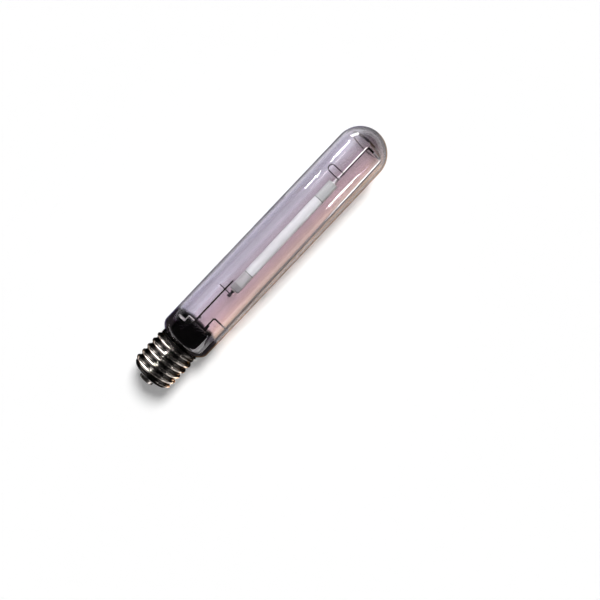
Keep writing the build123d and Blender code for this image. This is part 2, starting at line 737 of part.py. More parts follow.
def build_pieces():
    """Every piece of the lamp by name, drawn upright."""
    left = left_lead_in()
    right = right_lead_in()
    frame = frame_wire()
    support = support_rod(left)
    tube = lean(arc_tube())
    low_tube = lean(lower_niobium_tube())
    high_tube = lean(upper_niobium_tube())
    exhaust = exhaust_tube()
    exhaust_seat = rod(EXHAUST_DIA, PRESS_START, EXHAUST_TOP)
    stem = flare() + press() - exhaust_seat - exhaust_passage() - left - right
    shell = cap_shell()
    centre_out = centre_lead_out()
    side_out = side_lead_out()
    return {
        "outer_bulb": outer_bulb(),
        "stem": stem,
        "exhaust_tube": exhaust,
        "left_lead_in": left,
        "right_lead_in": right,
        "support_rod": support,
        "frame_wire": frame,
        "frame_link": frame_link(right, frame),
        "cross_wire": cross_wire(support, low_tube),
        "expansion_loop": expansion_loop(high_tube, frame),
        "dome_ring": dome_ring(frame),
        "arc_tube": tube,
        "lower_plug": lean(end_plug(ARC_START, ARC_START + PLUG_LENGTH)),
        "upper_plug": lean(end_plug(ARC_END, ARC_END - PLUG_LENGTH)),
        "lower_frit": lean(end_frit(ARC_START, -1)),
        "upper_frit": lean(end_frit(ARC_END, 1)),
        "lower_niobium_tube": low_tube,
        "upper_niobium_tube": high_tube,
        "lower_electrode": lean(electrode(ARC_START, 1)),
        "upper_electrode": lean(electrode(ARC_END, -1)),
        "lower_coil": lean(electrode_coil(ARC_START, 1)),
        "upper_coil": lean(electrode_coil(ARC_END, -1)),
        "ignition_wire": lean(ignition_wire()),
        "getter_ring": getter_ring(),
        "getter_stalk": getter_stalk(left),
        "cap_shell": shell,
        "cap_insulator": cap_insulator(),
        "centre_contact": centre_contact(),
        "contact_solder": contact_solder(centre_out),
        "side_solder": side_solder(shell, side_out),
        "cap_cement": cap_cement(),
        "centre_lead_out": centre_out,
        "side_lead_out": side_out,
    }


os.makedirs("parts", exist_ok=True)
for name, piece in build_pieces().items():
    export_step(AXIS_LAID * piece, f"parts/{name}.step")
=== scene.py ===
from math import acos, cos, pi, radians, sin, sqrt, tan

import bpy
import numpy as np
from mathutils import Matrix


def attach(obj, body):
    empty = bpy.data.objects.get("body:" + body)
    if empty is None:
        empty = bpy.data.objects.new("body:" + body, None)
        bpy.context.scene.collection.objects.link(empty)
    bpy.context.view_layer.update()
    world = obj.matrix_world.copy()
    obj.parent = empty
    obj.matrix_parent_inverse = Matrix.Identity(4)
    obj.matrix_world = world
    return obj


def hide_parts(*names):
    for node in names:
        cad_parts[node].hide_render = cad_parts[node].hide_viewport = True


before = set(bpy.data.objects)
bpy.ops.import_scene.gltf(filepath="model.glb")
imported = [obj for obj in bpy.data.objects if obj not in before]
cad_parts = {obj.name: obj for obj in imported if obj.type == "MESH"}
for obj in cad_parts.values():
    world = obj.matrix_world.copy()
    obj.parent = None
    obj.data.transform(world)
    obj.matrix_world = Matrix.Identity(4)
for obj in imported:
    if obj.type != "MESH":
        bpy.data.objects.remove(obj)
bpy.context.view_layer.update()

# The lamp's sizes are in millimetres. X runs along it from the contact button to the dome,
# Y across the wire frame, and Z up towards the camera.
MM = 0.001

OVERALL_LENGTH = 288.0
BULB_RADIUS = 23.25
BULB_WALL = 1.2
NECK_RADIUS = 16.4
NECK_END = 20.0
NECK_BEND = 1.6
SHOULDER_TOP = 48.55
SHOULDER_BEND = 7.4
DOME_START = OVERALL_LENGTH - BULB_RADIUS

STEM_RADIUS = 9.6
STEM_WALL = 1.1
FLARE_TOP = 29.0
PRESS_START = 44.0
PRESS_FULL = 51.0
PRESS_TOP = 64.3
PRESS_HALF = 3.0

THREAD_PITCH = 6.35
THREAD_MAJOR = 19.65
THREAD_MINOR = 17.85
CREST_AT = 11.4
SHELL_LIP = 15.0
LIP_FACE = 1.0
SHELL_BORE = 17.5
SHELL_BOTTOM = 6.0
SHELL_RIM = 42.5
RIM_RADIUS = 18.25
RIM_BAND = 2.4
THREAD_END = 39.9
RUNOUT_LENGTH = 2.7
CONTACT_RADIUS = 6.7
CONTACT_HEIGHT = 3.6
CONTACT_HOLE = 1.3
SPIGOT_RADIUS = 5.0
SPIGOT_TOP = 5.0
INSULATOR_TOP = 12.5

ARC_Y = -0.95
LEAN_AT = 237.0
LEAN = radians(0.46)
ARC_START = 107.2
ARC_END = 230.7
ARC_RADIUS = 4.6
ARC_BORE = 3.7
NIOBIUM_RADIUS = 1.6
NIOBIUM_BORE = 1.2
NIOBIUM_LOW = 99.7
NIOBIUM_HIGH = 238.7

FLOOR_Z = -BULB_RADIUS
# Chamfer at a wire's end, as a share of its radius.
CHAMFER_SHARE = 0.25


def rounded(corners, bends, steps=12):
    """Path through corners with each inner corner turned into an arc.

    An arc of radius r touches both runs at r / tan(half the angle between them), and its
    points are the two end spokes mixed as sin((1 - s) w) and sin(s w) over sin(w).
    """
    corners = np.asarray(corners, float)
    path = [corners[:1]]
    for before, corner, after, bend in zip(corners, corners[1:], corners[2:], bends):
        back = (before - corner) / np.linalg.norm(before - corner)
        ahead = (after - corner) / np.linalg.norm(after - corner)
        half = acos(np.clip(back @ ahead, -1, 1)) / 2
        middle = back + ahead
        centre = corner + middle / np.linalg.norm(middle) * bend / sin(half)
        start = corner + back * bend / tan(half) - centre
        end = corner + ahead * bend / tan(half) - centre
        sweep = pi - 2 * half
        share = np.linspace(0, 1, steps + 1)[:, None]
        arc = (np.sin((1 - share) * sweep) * start + np.sin(share * sweep) * end) / sin(sweep)
        path.append(centre + arc)
    path.append(corners[-1:])
    return np.concatenate(path)


def piece(name, rows, finish, ends="poles", sharp=35.0, node=None):
    """Closed surface from rows of rings.

    The rings are joined in order. With ends="poles" the first and last ring close on
    their own centre, and with ends="loop" the last ring joins the first.
    """
    count, around = rows.shape[:2]
    points = rows.reshape(-1, 3)
    ring = np.arange(count * around).reshape(count, around)
    if ends == "loop":
        low, high = ring, np.roll(ring, -1, axis=0)
    else:
        low, high = ring[:-1], ring[1:]
    quads = np.stack([low, np.roll(low, -1, 1), np.roll(high, -1, 1), high], -1).reshape(-1, 4)
    triangles = np.zeros((0, 3), int)
    if ends == "poles":
        points = np.concatenate([points, [rows[0].mean(0), rows[-1].mean(0)]])
        first, last = len(points) - 2, len(points) - 1
        start = np.stack([np.roll(ring[0], -1), ring[0], np.full(around, first)], -1)
        stop = np.stack([ring[-1], np.roll(ring[-1], -1), np.full(around, last)], -1)
        triangles = np.concatenate([start, stop])
    faces = np.concatenate([quads[:, [0, 1, 2]], quads[:, [0, 2, 3]], triangles])
    a, b, c = (points[faces[:, k]] for k in range(3))
    if np.einsum("ij,ij->i", a, np.cross(b, c)).sum() < 0:
        quads, triangles = quads[:, ::-1], triangles[:, ::-1]
    mesh = bpy.data.meshes.new(name)
    mesh.from_pydata((points * MM).tolist(), [], quads.tolist() + triangles.tolist())
    mesh.polygons.foreach_set("use_smooth", np.ones(len(mesh.polygons), bool))
    mesh.set_sharp_from_angle(angle=radians(sharp))
    mesh.materials.append(finish)
    made = bpy.data.objects.new(name, mesh)
    bpy.context.scene.collection.objects.link(made)
    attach(made, "root")
    if node:
        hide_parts(node)
    return made


def turned(profile, around=96, y=0.0):
    """Rings of a turned form: point (x, r) goes round as (x, y + r cos a, r sin a)."""
    profile = np.asarray(profile, float)
    angle = np.linspace(0, 2 * pi, around, endpoint=False)
    x, r = profile[:, :1], profile[:, 1:]
    return np.stack(np.broadcast_arrays(x, y + r * np.cos(angle), r * np.sin(angle)), -1)


def leaned(rows):
    """Rings drawn about the lamp's axis, turned about Z into the arc tube's place."""
    along, across = rows[..., 0] - LEAN_AT, rows[..., 1]
    x = LEAN_AT + along * cos(LEAN) - across * sin(LEAN)
    y = ARC_Y + along * sin(LEAN) + across * cos(LEAN)
    return np.stack([x, y, rows[..., 2]], -1)


def carried(path, outlines):
    """Rings of an outline at each point of a path, carried along it.

    A point (u, v) of an outline lies at u times the sideways direction, Z crossed with
    the run, plus v times the direction square to both.
    """
    runs = np.diff(path, axis=0)
    runs /= np.linalg.norm(runs, axis=1)[:, None]
    along = np.concatenate([runs[:1], runs[:-1] + runs[1:], runs[-1:]])
    along /= np.linalg.norm(along, axis=1)[:, None]
    side = np.cross((0.0, 0.0, 1.0), along)
    side /= np.linalg.norm(side, axis=1)[:, None]
    up = np.cross(along, side)
    return path[:, None] + outlines[..., :1] * side[:, None] + outlines[..., 1:] * up[:, None]


def wire_rings(path, diameter, around=20):
    """Rings of a round wire with a small chamfer at each end."""
    path = np.asarray(path, float)
    radius = diameter / 2
    edge = CHAMFER_SHARE * radius
    first = (path[1] - path[0]) / np.linalg.norm(path[1] - path[0])
    last = (path[-2] - path[-1]) / np.linalg.norm(path[-2] - path[-1])
    inner = [path[:1] + first * edge, path[1:-1], path[-1:] + last * edge]
    path = np.concatenate([path[:1], *inner, path[-1:]])
    radii = np.full(len(path), radius)
    radii[[0, -1]] -= edge
    angle = np.linspace(0, 2 * pi, around, endpoint=False)
    outline = np.stack([np.cos(angle), np.sin(angle)], -1)
    return carried(path, radii[:, None, None] * outline)


# Materials

# A range that starts and ends gently.
SMOOTH = {"interpolation_type": "SMOOTHSTEP"}


def linear(code):
    """sRGB hex colour as linear RGBA: ((c + 0.055) / 1.055) to the power 2.4."""
    parts = np.array([int(code[i : i + 2], 16) for i in (1, 3, 5)]) / 255
    parts = np.where(parts <= 0.04045, parts / 12.92, ((parts + 0.055) / 1.055) ** 2.4)
    return (*parts, 1.0)


def add(tree, kind, inputs=None, stops=None, **settings):
    """Adds a node with its settings, its inputs as values or links, and its ramp stops.

    An input given as a node is linked to that node's first output.
    """
    node = tree.nodes.new("ShaderNode" + kind)
    for key, value in settings.items():
        setattr(node, key, value)
    for key, value in (inputs or {}).items():
        if isinstance(value, bpy.types.Node):
            value = value.outputs[0]
        if isinstance(value, bpy.types.NodeSocket):
            tree.links.new(value, node.inputs[key])
        else:
            node.inputs[key].default_value = value
    if stops:
        ramp = node.color_ramp
        while len(ramp.elements) < len(stops):
            ramp.elements.new(0.5)
        for element, (place, code) in zip(ramp.elements, stops):
            element.position = place
            element.color = linear(code)
    return node


def new_material(name):
    """Empty node material and its tree."""
    material = bpy.data.materials.new(name)
    material.use_nodes = True
    material.node_tree.nodes.clear()
    return material, material.node_tree


def place_mm(tree):
    """Object coordinates in millimetres, whole and split into X, Y and Z."""
    coordinate = add(tree, "TexCoord")
    scaled = add(
        tree, "VectorMath", {0: coordinate.outputs["Object"], "Scale": 1 / MM}, operation="SCALE"
    )
    return scaled, add(tree, "SeparateXYZ", {0: scaled}).outputs


def lit_through(tree, glass, shade):
    """Ends a glass: lamps shine through it in a shade, and every other ray meets the glass."""
    clear = add(tree, "BsdfTransparent", {"Color": shade})
    ray = add(tree, "LightPath")
    mixed = add(tree, "MixShader", {0: ray.outputs["Is Shadow Ray"], 1: glass, 2: clear})
    add(tree, "OutputMaterial", {0: mixed})


def blown_glass():
    """Hard glass, blown: smooth and clear, with a painted colour that shifts across it.

    The colour lies mostly in the lower wall, so what stands inside keeps its own colour.
    It is painted light: warm to the right as a painted reflection, lavender to the left
    for the surroundings seen through, with lighter and darker bands of painted shade, and
    the dome painted darker towards its tip. The rim is a dark see-through tint, painted
    shade for the dark line of thick glass seen edge on. Long shallow waves from the
    drawing bend its reflections a little. A wall that the light meets at a slant lets
    less of it through, which gives the soft grey haze beside the bulb.
    """
    material, tree = new_material("blown_borosilicate_glass")
    place, axis = place_mm(tree)
    # Painted light across the lower wall: colour for the surroundings and shade seen in the glass.
    across = add(tree, "MapRange", {"Value": axis[1], "From Min": -BULB_RADIUS, "From Max": BULB_RADIUS})
    lower = add(tree, "ValToRGB", {0: across}, stops=LOWER_WALL_PAINTED_LIGHT)
    depth = add(
        tree, "MapRange", {"Value": axis[2], "From Min": TINT_TOP, "From Max": TINT_BOTTOM}, **SMOOTH
    )
    painted_glass_colour = add(tree, "Mix", {0: depth, 6: linear(UPPER_TINT), 7: lower}, data_type="RGBA")
    # Painted shade: the dome's glass darkens towards its tip.
    dome = add(
        tree,
        "MapRange",
        {
            "Value": axis[0], "From Min": DOME_SHADE_START, "From Max": OVERALL_LENGTH,
            "To Min": 1.0, "To Max": DOME_SHADE_SHARE,
        },
    )
    painted_glass_colour = add(tree, "VectorMath", {0: painted_glass_colour.outputs[2], "Scale": dome}, operation="SCALE")
    facing = add(tree, "LayerWeight", {"Blend": 0.5}).outputs["Facing"]
    edge = add(tree, "MapRange", {"Value": facing, **RIM_LINE}, **SMOOTH)
    drawn = add(tree, "Mapping", {"Vector": place, "Scale": GLASS_WAVE_STRETCH})
    wave = add(tree, "TexNoise", {"Vector": drawn, "Scale": 1 / GLASS_WAVE_MM, "Detail": 1.0})
    relief = add(tree, "Bump", {"Height": wave, "Distance": GLASS_WAVE_DEPTH * MM})
    glass = add(
        tree,
        "BsdfPrincipled",
        {
            "Base Color": painted_glass_colour, "Roughness": 0.0, "IOR": 1.47, "Transmission Weight": 1.0,
            "Normal": relief,
        },
    )
    # The rim's dark tint is painted shade, and on the right it is a warm painted reflection.
    rim = add(tree, "ValToRGB", {0: across}, stops=RIM_PAINTED_SHADE)
    dark = add(tree, "BsdfTransparent", {"Color": rim})
    wall = add(tree, "MixShader", {0: edge, 1: glass, 2: dark})
    # The wall is taken as thicker on the right, and the dome lets the light through.
    thicker = add(tree, "MapRange", {"Value": axis[1], **THICK_SIDE, "To Max": THICK_SIDE_MORE})
    turn = add(tree, "Math", {0: facing, 1: thicker}, operation="ADD")
    slant = add(tree, "MapRange", {"Value": turn, **SHADE_LINE}, **SMOOTH)
    tube = add(tree, "MapRange", {"Value": axis[0], **SHADE_END})
    dim = add(tree, "Math", {0: slant, 1: tube}, operation="MULTIPLY")
    shade = add(tree, "Mix", {0: dim, 6: linear("#f6f5f6"), 7: linear("#222222")}, data_type="RGBA")
    lit_through(tree, wall, shade.outputs[2])
    return material


def stem_glass():
    """Lead glass, pressed while hot: clear, a little rippled where the jaws pinched it."""
    material, tree = new_material("pressed_lead_glass")
    place = place_mm(tree)[0]
    ripple = add(tree, "TexNoise", {"Vector": place, "Scale": 1 / RIPPLE_MM, "Detail": 2.0})
    relief = add(tree, "Bump", {"Height": ripple, "Distance": RIPPLE_DEPTH * MM})
    glass = add(
        tree,
        "BsdfPrincipled",
        {
            "Base Color": linear("#dedce0"), "Roughness": 0.03, "IOR": 1.55,
            "Transmission Weight": 1.0, "Normal": relief,
        },
    )
    lit_through(tree, glass, linear("#e8e6ea"))
    return material


def getter_film():
    """Barium, evaporated onto the wall: a black mirror that thins out to purple at its edge.

    The edge lies further back behind the getter, where the channel stood in the way.
    """
    material, tree = new_material("evaporated_barium_film")
    place, axis = place_mm(tree)
    wave = add(tree, "TexNoise", {"Vector": place, "Scale": 1 / FILM_WAVE_MM, "Detail": 2.0})
    uneven = add(tree, "MapRange", {"Value": wave, **NOISE_SPREAD, "To Min": -1.0})
    beside = add(tree, "Math", {0: axis[1], 1: SHELTER_Y}, operation="SUBTRACT")
    away = add(tree, "Math", {0: beside}, operation="ABSOLUTE")
    shelter = add(
        tree,
        "MapRange",
        {
            "Value": away, "From Min": SHELTER_HALF + SHELTER_SOFT,
            "From Max": SHELTER_HALF - SHELTER_SOFT, "To Max": SHELTER_DEPTH,
        },
        **SMOOTH,
    )
    above = add(tree, "MapRange", {"Value": axis[2], **SHELTER_RISE})
    hidden = add(tree, "Math", {0: shelter, 1: above}, operation="MULTIPLY")
    shifted = add(tree, "Math", {0: axis[0], 1: uneven}, operation="ADD")
    reach = add(tree, "Math", {0: shifted, 1: hidden}, operation="ADD")
    cover = add(
        tree,
        "MapRange",
        {"Value": reach, "From Min": FILM_FULL, "From Max": FILM_EDGE, "To Min": 1.0, "To Max": 0.0},
        **SMOOTH,
    )
    shade = add(tree, "ValToRGB", {0: cover}, stops=FILM_SHADES)
    gloss = add(tree, "MapRange", {"Value": wave, "To Min": 0.06, "To Max": 0.18})
    film = add(tree, "BsdfPrincipled", {"Base Color": shade, "Metallic": 1.0, "Roughness": gloss})
    clear = add(tree, "BsdfTransparent")
    mixed = add(tree, "MixShader", {0: cover, 1: clear, 2: film})
    add(tree, "OutputMaterial", {0: mixed})
    return material


def alumina():
    """Sintered alumina: milky and finely mottled, greyer beyond the rings, and darkest over the lower
    plug as painted shade.
    """
    material, tree = new_material("sintered_alumina")
    place, axis = place_mm(tree)
    along = add(tree, "MapRange", {"Value": axis[0], "From Min": ARC_START, "From Max": ARC_END})
    bands = add(tree, "ValToRGB", {0: along}, stops=ALUMINA_BANDS)
    grain = add(tree, "TexNoise", {"Vector": place, "Scale": 1 / MOTTLE_MM, "Detail": 4.0})
    mottle = add(tree, "MapRange", {"Value": grain, **NOISE_SPREAD, "To Min": 0.93})
    colour = add(tree, "VectorMath", {0: bands, "Scale": mottle}, operation="SCALE")
    gloss = add(tree, "MapRange", {"Value": grain, "To Min": 0.2, "To Max": 0.45})
    relief = add(tree, "Bump", {"Height": grain, "Distance": GRAIN_DEPTH * MM})
    body = add(
        tree, "BsdfPrincipled", {"Base Color": colour, "Roughness": gloss, "IOR": 1.7, "Normal": relief}
    )
    add(tree, "OutputMaterial", {0: body})
    return material


def worked(name, light, dark, gloss, grain_mm, stretch=(1, 1, 1), relief_mm=0.0, metallic=0.0, rim=None):
    """Opaque finish whose grain varies its colour, its gloss and its surface together."""
    material, tree = new_material(name)
    place = place_mm(tree)[0]
    drawn = add(tree, "Mapping", {"Vector": place, "Scale": stretch})
    grain = add(tree, "TexNoise", {"Vector": drawn, "Scale": 1 / grain_mm, "Detail": 4.0})
    shade = add(tree, "ValToRGB", {0: grain}, stops=[(0.35, dark), (0.65, light)])
    rough = add(
        tree, "MapRange", {"Value": grain, **NOISE_SPREAD, "To Min": gloss[0], "To Max": gloss[1]}
    )
    relief = add(tree, "Bump", {"Height": grain, "Distance": relief_mm * MM})
    body = add(
        tree,
        "BsdfPrincipled",
        {"Base Color": shade, "Metallic": metallic, "Roughness": rough, "Normal": relief},
    )
    if rim:
        body.inputs["Specular Tint"].default_value = linear(rim)
    add(tree, "OutputMaterial", {0: body})
    return material


def frame_wire():
    """Nickelled wire, drawn: painted bright at the dome and darker and browner nearer the cap, a painted
    shade along the rod.

    The right half of each rod is painted near black, a painted shade.
    """
    material, tree = new_material("drawn_nickelled_frame_wire")
    place, axis = place_mm(tree)
    drawn = add(tree, "Mapping", {"Vector": place, "Scale": ALONG})
    grain = add(tree, "TexNoise", {"Vector": drawn, "Scale": 1 / DRAWN_LINE_MM, "Detail": 4.0})
    # Painted shade along the rod: bright at the dome, darker and browner towards the cap.
    painted_towards_dome = add(
        tree, "MapRange", {"Value": axis[0], "From Min": BROWN_UP_TO, "From Max": BRIGHT_FROM}, **SMOOTH
    )
    shade = add(tree, "ValToRGB", {0: painted_towards_dome}, stops=[(0.0, "#5f5152"), (1.0, "#dad5d4")])
    side_rod = add(
        tree,
        "MapRange",
        {
            "Value": axis[0], "From Min": ROD_LOW[0], "From Max": ROD_HIGH[0], "To Min": ROD_LOW[1],
            "To Max": ROD_HIGH[1],
        },
    )
    # Painted shade: the right half of each rod is darkened nearly to black.
    outer = add(tree, "Math", {0: axis[1], 1: BETWEEN_RODS}, operation="LESS_THAN")
    middle = add(tree, "Mix", {0: outer, 2: ARC_Y, 3: side_rod})
    beside = add(tree, "Math", {0: axis[1], 1: middle}, operation="SUBTRACT")
    painted_dark_side = add(
        tree,
        "MapRange",
        {"Value": beside, "From Min": DARK_SIDE_UP_TO, "From Max": LIT_SIDE_FROM, "To Min": 0.02},
    )
    shade = add(tree, "VectorMath", {0: shade, "Scale": painted_dark_side}, operation="SCALE")
    lines = add(tree, "MapRange", {"Value": grain, **NOISE_SPREAD, "To Min": 0.8})
    colour = add(tree, "VectorMath", {0: shade, "Scale": lines}, operation="SCALE")
    gloss = add(tree, "MapRange", {"Value": grain, **NOISE_SPREAD, "To Min": 0.25, "To Max": 0.4})
    relief = add(tree, "Bump", {"Height": grain, "Distance": DRAWN_LINE_DEPTH * MM})
    body = add(
        tree,
        "BsdfPrincipled",
        {
            "Base Color": colour, "Metallic": 1.0, "Roughness": gloss,
            "Specular Tint": linear("#140f11"), "Normal": relief,
        },
    )
    add(tree, "OutputMaterial", {0: body})
    return material


def nickel_plate():
    """Nickel plate over brass, rolled and polished: a dark mirror, with painted shade between the
    threads.

    On the right side warm patches are a painted reflection, which gives a warm edge.
    """
    material, tree = new_material("polished_nickel_plate")
    place, axis = place_mm(tree)
    rolled = add(tree, "Mapping", {"Vector": place, "Scale": AROUND})
    grain = add(tree, "TexNoise", {"Vector": rolled, "Scale": 1 / ROLLED_LINE_MM, "Detail": 4.0})
    patch = add(tree, "TexNoise", {"Vector": place, "Scale": 1 / WARM_PATCH_MM, "Detail": 2.0})
    plate = add(tree, "ValToRGB", {0: grain}, stops=[(0.35, "#625d5a"), (0.65, "#75706c")])
    flat = add(tree, "VectorMath", {0: place, 1: (0.0, 1.0, 1.0)}, operation="MULTIPLY")
    reach = add(tree, "VectorMath", {0: flat}, operation="LENGTH")
    # Painted shade: the plate darkens between the threads, just above the root.
    crest = add(
        tree,
        "MapRange",
        {
            "Value": reach.outputs["Value"], "From Min": THREAD_MINOR + ROOT_SHADE_DEPTH[0],
            "From Max": THREAD_MINOR + ROOT_SHADE_DEPTH[1], "To Min": 0.12,
        },
    )
    plate = add(tree, "VectorMath", {0: plate, "Scale": crest}, operation="SCALE")
    # Painted reflection: warm patches on the right side of the shell.
    side = add(tree, "MapRange", {"Value": axis[1], **WARM_REFLECTION_SIDE})
    loose = add(tree, "MapRange", {"Value": patch, "From Min": 0.35, "From Max": 0.55})
    painted_warm_edge = add(tree, "Math", {0: side, 1: loose}, operation="MULTIPLY")
    colour = add(tree, "Mix", {0: painted_warm_edge, 6: plate, 7: linear("#c4b0a0")}, data_type="RGBA")
    gloss = add(tree, "MapRange", {"Value": grain, **NOISE_SPREAD, "To Min": 0.14, "To Max": 0.28})
    relief = add(tree, "Bump", {"Height": grain, "Distance": GRAIN_DEPTH * MM})
    body = add(
        tree,
        "BsdfPrincipled",
        {
            "Base Color": colour.outputs[2], "Metallic": 1.0, "Roughness": gloss,
            "Specular Tint": linear("#2a2624"), "Normal": relief,
        },
    )
    add(tree, "OutputMaterial", {0: body})
    return material


# A noise's values lie mostly in this range.
NOISE_SPREAD = {"From Min": 0.3, "From Max": 0.7}
# Patterns are drawn out along the lamp, or around it.
ALONG = (0.1, 1.0, 1.0)
AROUND = (1.0, 0.25, 0.25)

# Painted light on the bulb's lower wall, from its right side at 0 to its left side at 1:
# warm to the right as a painted reflection, lavender to the left for the surroundings
# seen through, and lighter and darker bands as painted light and shade.
LOWER_WALL_PAINTED_LIGHT = [
    (0.0, "#a58f74"), (0.05, "#ad9174"), (0.20, "#b39e97"), (0.29, "#a69292"), (0.36, "#a39195"),
    (0.41, "#9a8a8d"), (0.55, "#96878f"), (0.63, "#9c9399"), (0.72, "#a8a1aa"), (0.79, "#c8c5ce"),
    (0.86, "#cecad6"), (0.91, "#9994a5"), (1.0, "#8683a0"),
]
UPPER_TINT = "#efedf1"
# The rim's painted shade across the bulb, warm on the right as a painted reflection.
RIM_PAINTED_SHADE = [(0.0, "#c3b09c"), (0.45, "#b5a9a2"), (0.55, "#8f878c"), (0.965, "#9c97ac"), (1.0, "#767288")]
# The upper wall's near-clear colour turns into the lower wall's painted light between these heights.
TINT_TOP = 9.0
TINT_BOTTOM = -12.0
# From here to its tip the dome's glass is painted darker, to a share of its colour: painted shade.
DOME_SHADE_START = 270.0
DOME_SHADE_SHARE = 0.4
# How far the wall has turned away, from 0 face on to 1 edge on: where the dark line
# starts and is full, and the same for the shadow that the wall casts.
RIM_LINE = {"From Min": 0.62, "From Max": 0.77}
SHADE_LINE = {"From Min": 0.40, "From Max": 0.65}
# The wall's shadow deepens across the bulb's right side and ends before the dome.
THICK_SIDE = {"From Min": -8.0, "From Max": -16.0}
THICK_SIDE_MORE = 0.12
SHADE_END = {"From Min": 268.0, "From Max": 258.0}
# Waves in the drawn glass, and the ripple that the jaws left in the press.
GLASS_WAVE_MM = 14.0
GLASS_WAVE_DEPTH = 0.002
GLASS_WAVE_STRETCH = (0.15, 1.0, 1.0)
RIPPLE_MM = 3.0
RIPPLE_DEPTH = 0.2

# The film is whole up to one place along the lamp and gone at the other.
FILM_FULL = 61.5
FILM_EDGE = 67.0
FILM_WAVE_MM = 7.0
FILM_SHADES = [(0.0, "#5b4a63"), (0.6, "#332a31"), (1.0, "#272325")]
# The bare patch behind the getter, which the upper wall has alone.
GETTER_Y = 14.0
SHELTER_Y = GETTER_Y - 3.0
SHELTER_HALF = 7.0
SHELTER_SOFT = 1.5
SHELTER_DEPTH = 7.5
SHELTER_RISE = {"From Min": -2.0, "From Max": 4.0}

# The mottle of the fired alumina, and the depth of its grain and of the nickel plate's.
MOTTLE_MM = 0.8
GRAIN_DEPTH = 0.01
# Shades along the arc tube: greyer beyond the rings, and darkest over the lower plug, a painted shade
# for the plug behind the thin wall.
ALUMINA_BANDS = [
    (0.0, "#6c6b6b"), (0.044, "#706f6f"), (0.05, "#949392"), (0.148, "#9c9b9a"), (0.153, "#c0c2c1"),
    (0.85, "#c0c2c1"), (0.855, "#9a9d9a"), (1.0, "#969996"),
]

# The frame wire's two ends of its long run, as X and Y, and where its painted shades change:
# along the lamp, and across each rod from its middle, where its right half is painted dark.
ROD_LOW = (62.5, -20.1)
ROD_HIGH = (272.8, -16.9)
BROWN_UP_TO = 195.0
BRIGHT_FROM = 235.0
BETWEEN_RODS = -8.0
DARK_SIDE_UP_TO = -0.3
LIT_SIDE_FROM = 0.2
# Drawing lines are finer than the picture can show, so they are drawn this coarse.
DRAWN_LINE_MM = 0.3
DRAWN_LINE_DEPTH = 0.003

# The shell: its rolling lines, the painted shade above the root, and the painted warm reflection on its
# right side.
ROLLED_LINE_MM = 0.7
WARM_PATCH_MM = 5.0
ROOT_SHADE_DEPTH = (0.2, 1.2)
WARM_REFLECTION_SIDE = {"From Min": -16.0, "From Max": -18.5}

BULB_GLASS = blown_glass()
STEM_GLASS = stem_glass()
FILM = getter_film()
ALUMINA = alumina()
NICKEL = nickel_plate()
FRAME_WIRE = frame_wire()
# Nickelled iron lead, welded and heated: brown and nearly black, with a thin shine.
WIRE = worked(
    "heated_nickelled_wire", "#5d5052", "#43383a", (0.1, 0.22), 0.3, ALONG, 0.004, 1.0, "#140f11"
)
# The same wire annealed: its plate has gone brown and dull.
LOOP_WIRE = worked("annealed_wire", "#352d30", "#231d1f", (0.25, 0.4), 0.3, ALONG, 0.006, 1.0, "#140f11")
# Rolled nickel strip: a bright mirror with faint rolling lines.
STRIP = worked("rolled_nickel_strip", "#aca7a5", "#928d8b", (0.08, 0.2), 0.4, ALONG, 0.004, 1.0)
# Molybdenum wire after firing: dark grey and satin.
IGNITION = worked("fired_molybdenum_wire", "#5b585b", "#3f3c40", (0.35, 0.5), 0.2, ALONG, 0.004, 1.0)
# Niobium tube, drawn and heated in vacuum: pale grey, satin, with lines along it.
NIOBIUM = worked(
    "drawn_niobium_tube", "#b9b4b5", "#9b9598", (0.2, 0.38), 0.3, ALONG, 0.004, 1.0, "#1c181a"
)
# The lower tube was pinched and sealed in the flame: black and scaly.
SEALED = worked(
    "flame_sealed_niobium", "#3a3638", "#232023", (0.3, 0.5), 0.5,
    relief_mm=0.02, metallic=1.0, rim="#1c181a",
)
# Nickelled iron channel, pressed: small and bright.
GETTER = worked(
    "pressed_getter_channel", "#f0eeec", "#d8d4d2", (0.3, 0.45), 0.3, relief_mm=0.004, metallic=1.0
)
# Tungsten, drawn and wound: dark grey with a steely shine.
TUNGSTEN = worked("drawn_tungsten", "#6b6a70", "#4d4c52", (0.3, 0.45), 0.2, ALONG, 0.004, 1.0)
# Nickelled brass button, pressed and handled: dull, with fine scratches.
CONTACT = worked(
    "dull_nickelled_brass", "#a8a29e", "#7a7470", (0.22, 0.42), 0.6,
    relief_mm=0.01, metallic=1.0, rim="#1a1716",
)
# Tin solder, set from a drop: pale, with a soft frosted grain.
SOLDER = worked("tin_solder", "#cfcecc", "#a8a7a6", (0.2, 0.42), 0.8, relief_mm=0.03, metallic=1.0)
# Copper wire, tinned and drawn: pale, with copper showing in the lines.
LEAD_OUT = worked("tinned_copper_wire", "#d3c4b8", "#bd8f72", (0.2, 0.35), 0.4, ALONG, 0.004, 1.0)
# Black glass, melted into the cap: deep and glossy with a slightly pitted skin.
VITRITE = worked("black_moulded_glass", "#151315", "#080708", (0.06, 0.2), 1.5, relief_mm=0.03)
# Cap cement, baked: matt and sandy.
CEMENT = worked("baked_cap_cement", "#b9ae98", "#94876f", (0.85, 0.95), 0.6, relief_mm=0.08)
# Sealing glass, melted round the tube: off-white with a soft gloss.
FRIT = worked("sealing_frit", "#d2cfc6", "#b7b3a8", (0.2, 0.4), 0.5, relief_mm=0.02)


# Glass

# The dome's rings stop this angle short of its tip, which closes on a point.
TIP_SHORT = 0.002
# The film's band: its ends, where the bulb's side is straight, and its place in the wall
# as depths from the inner face.
FILM_BAND_LOW = 30.0
FILM_BAND_STRAIGHT = 58.0
FILM_BAND_HIGH = 68.0
FILM_SKIN = (0.12, 0.05)
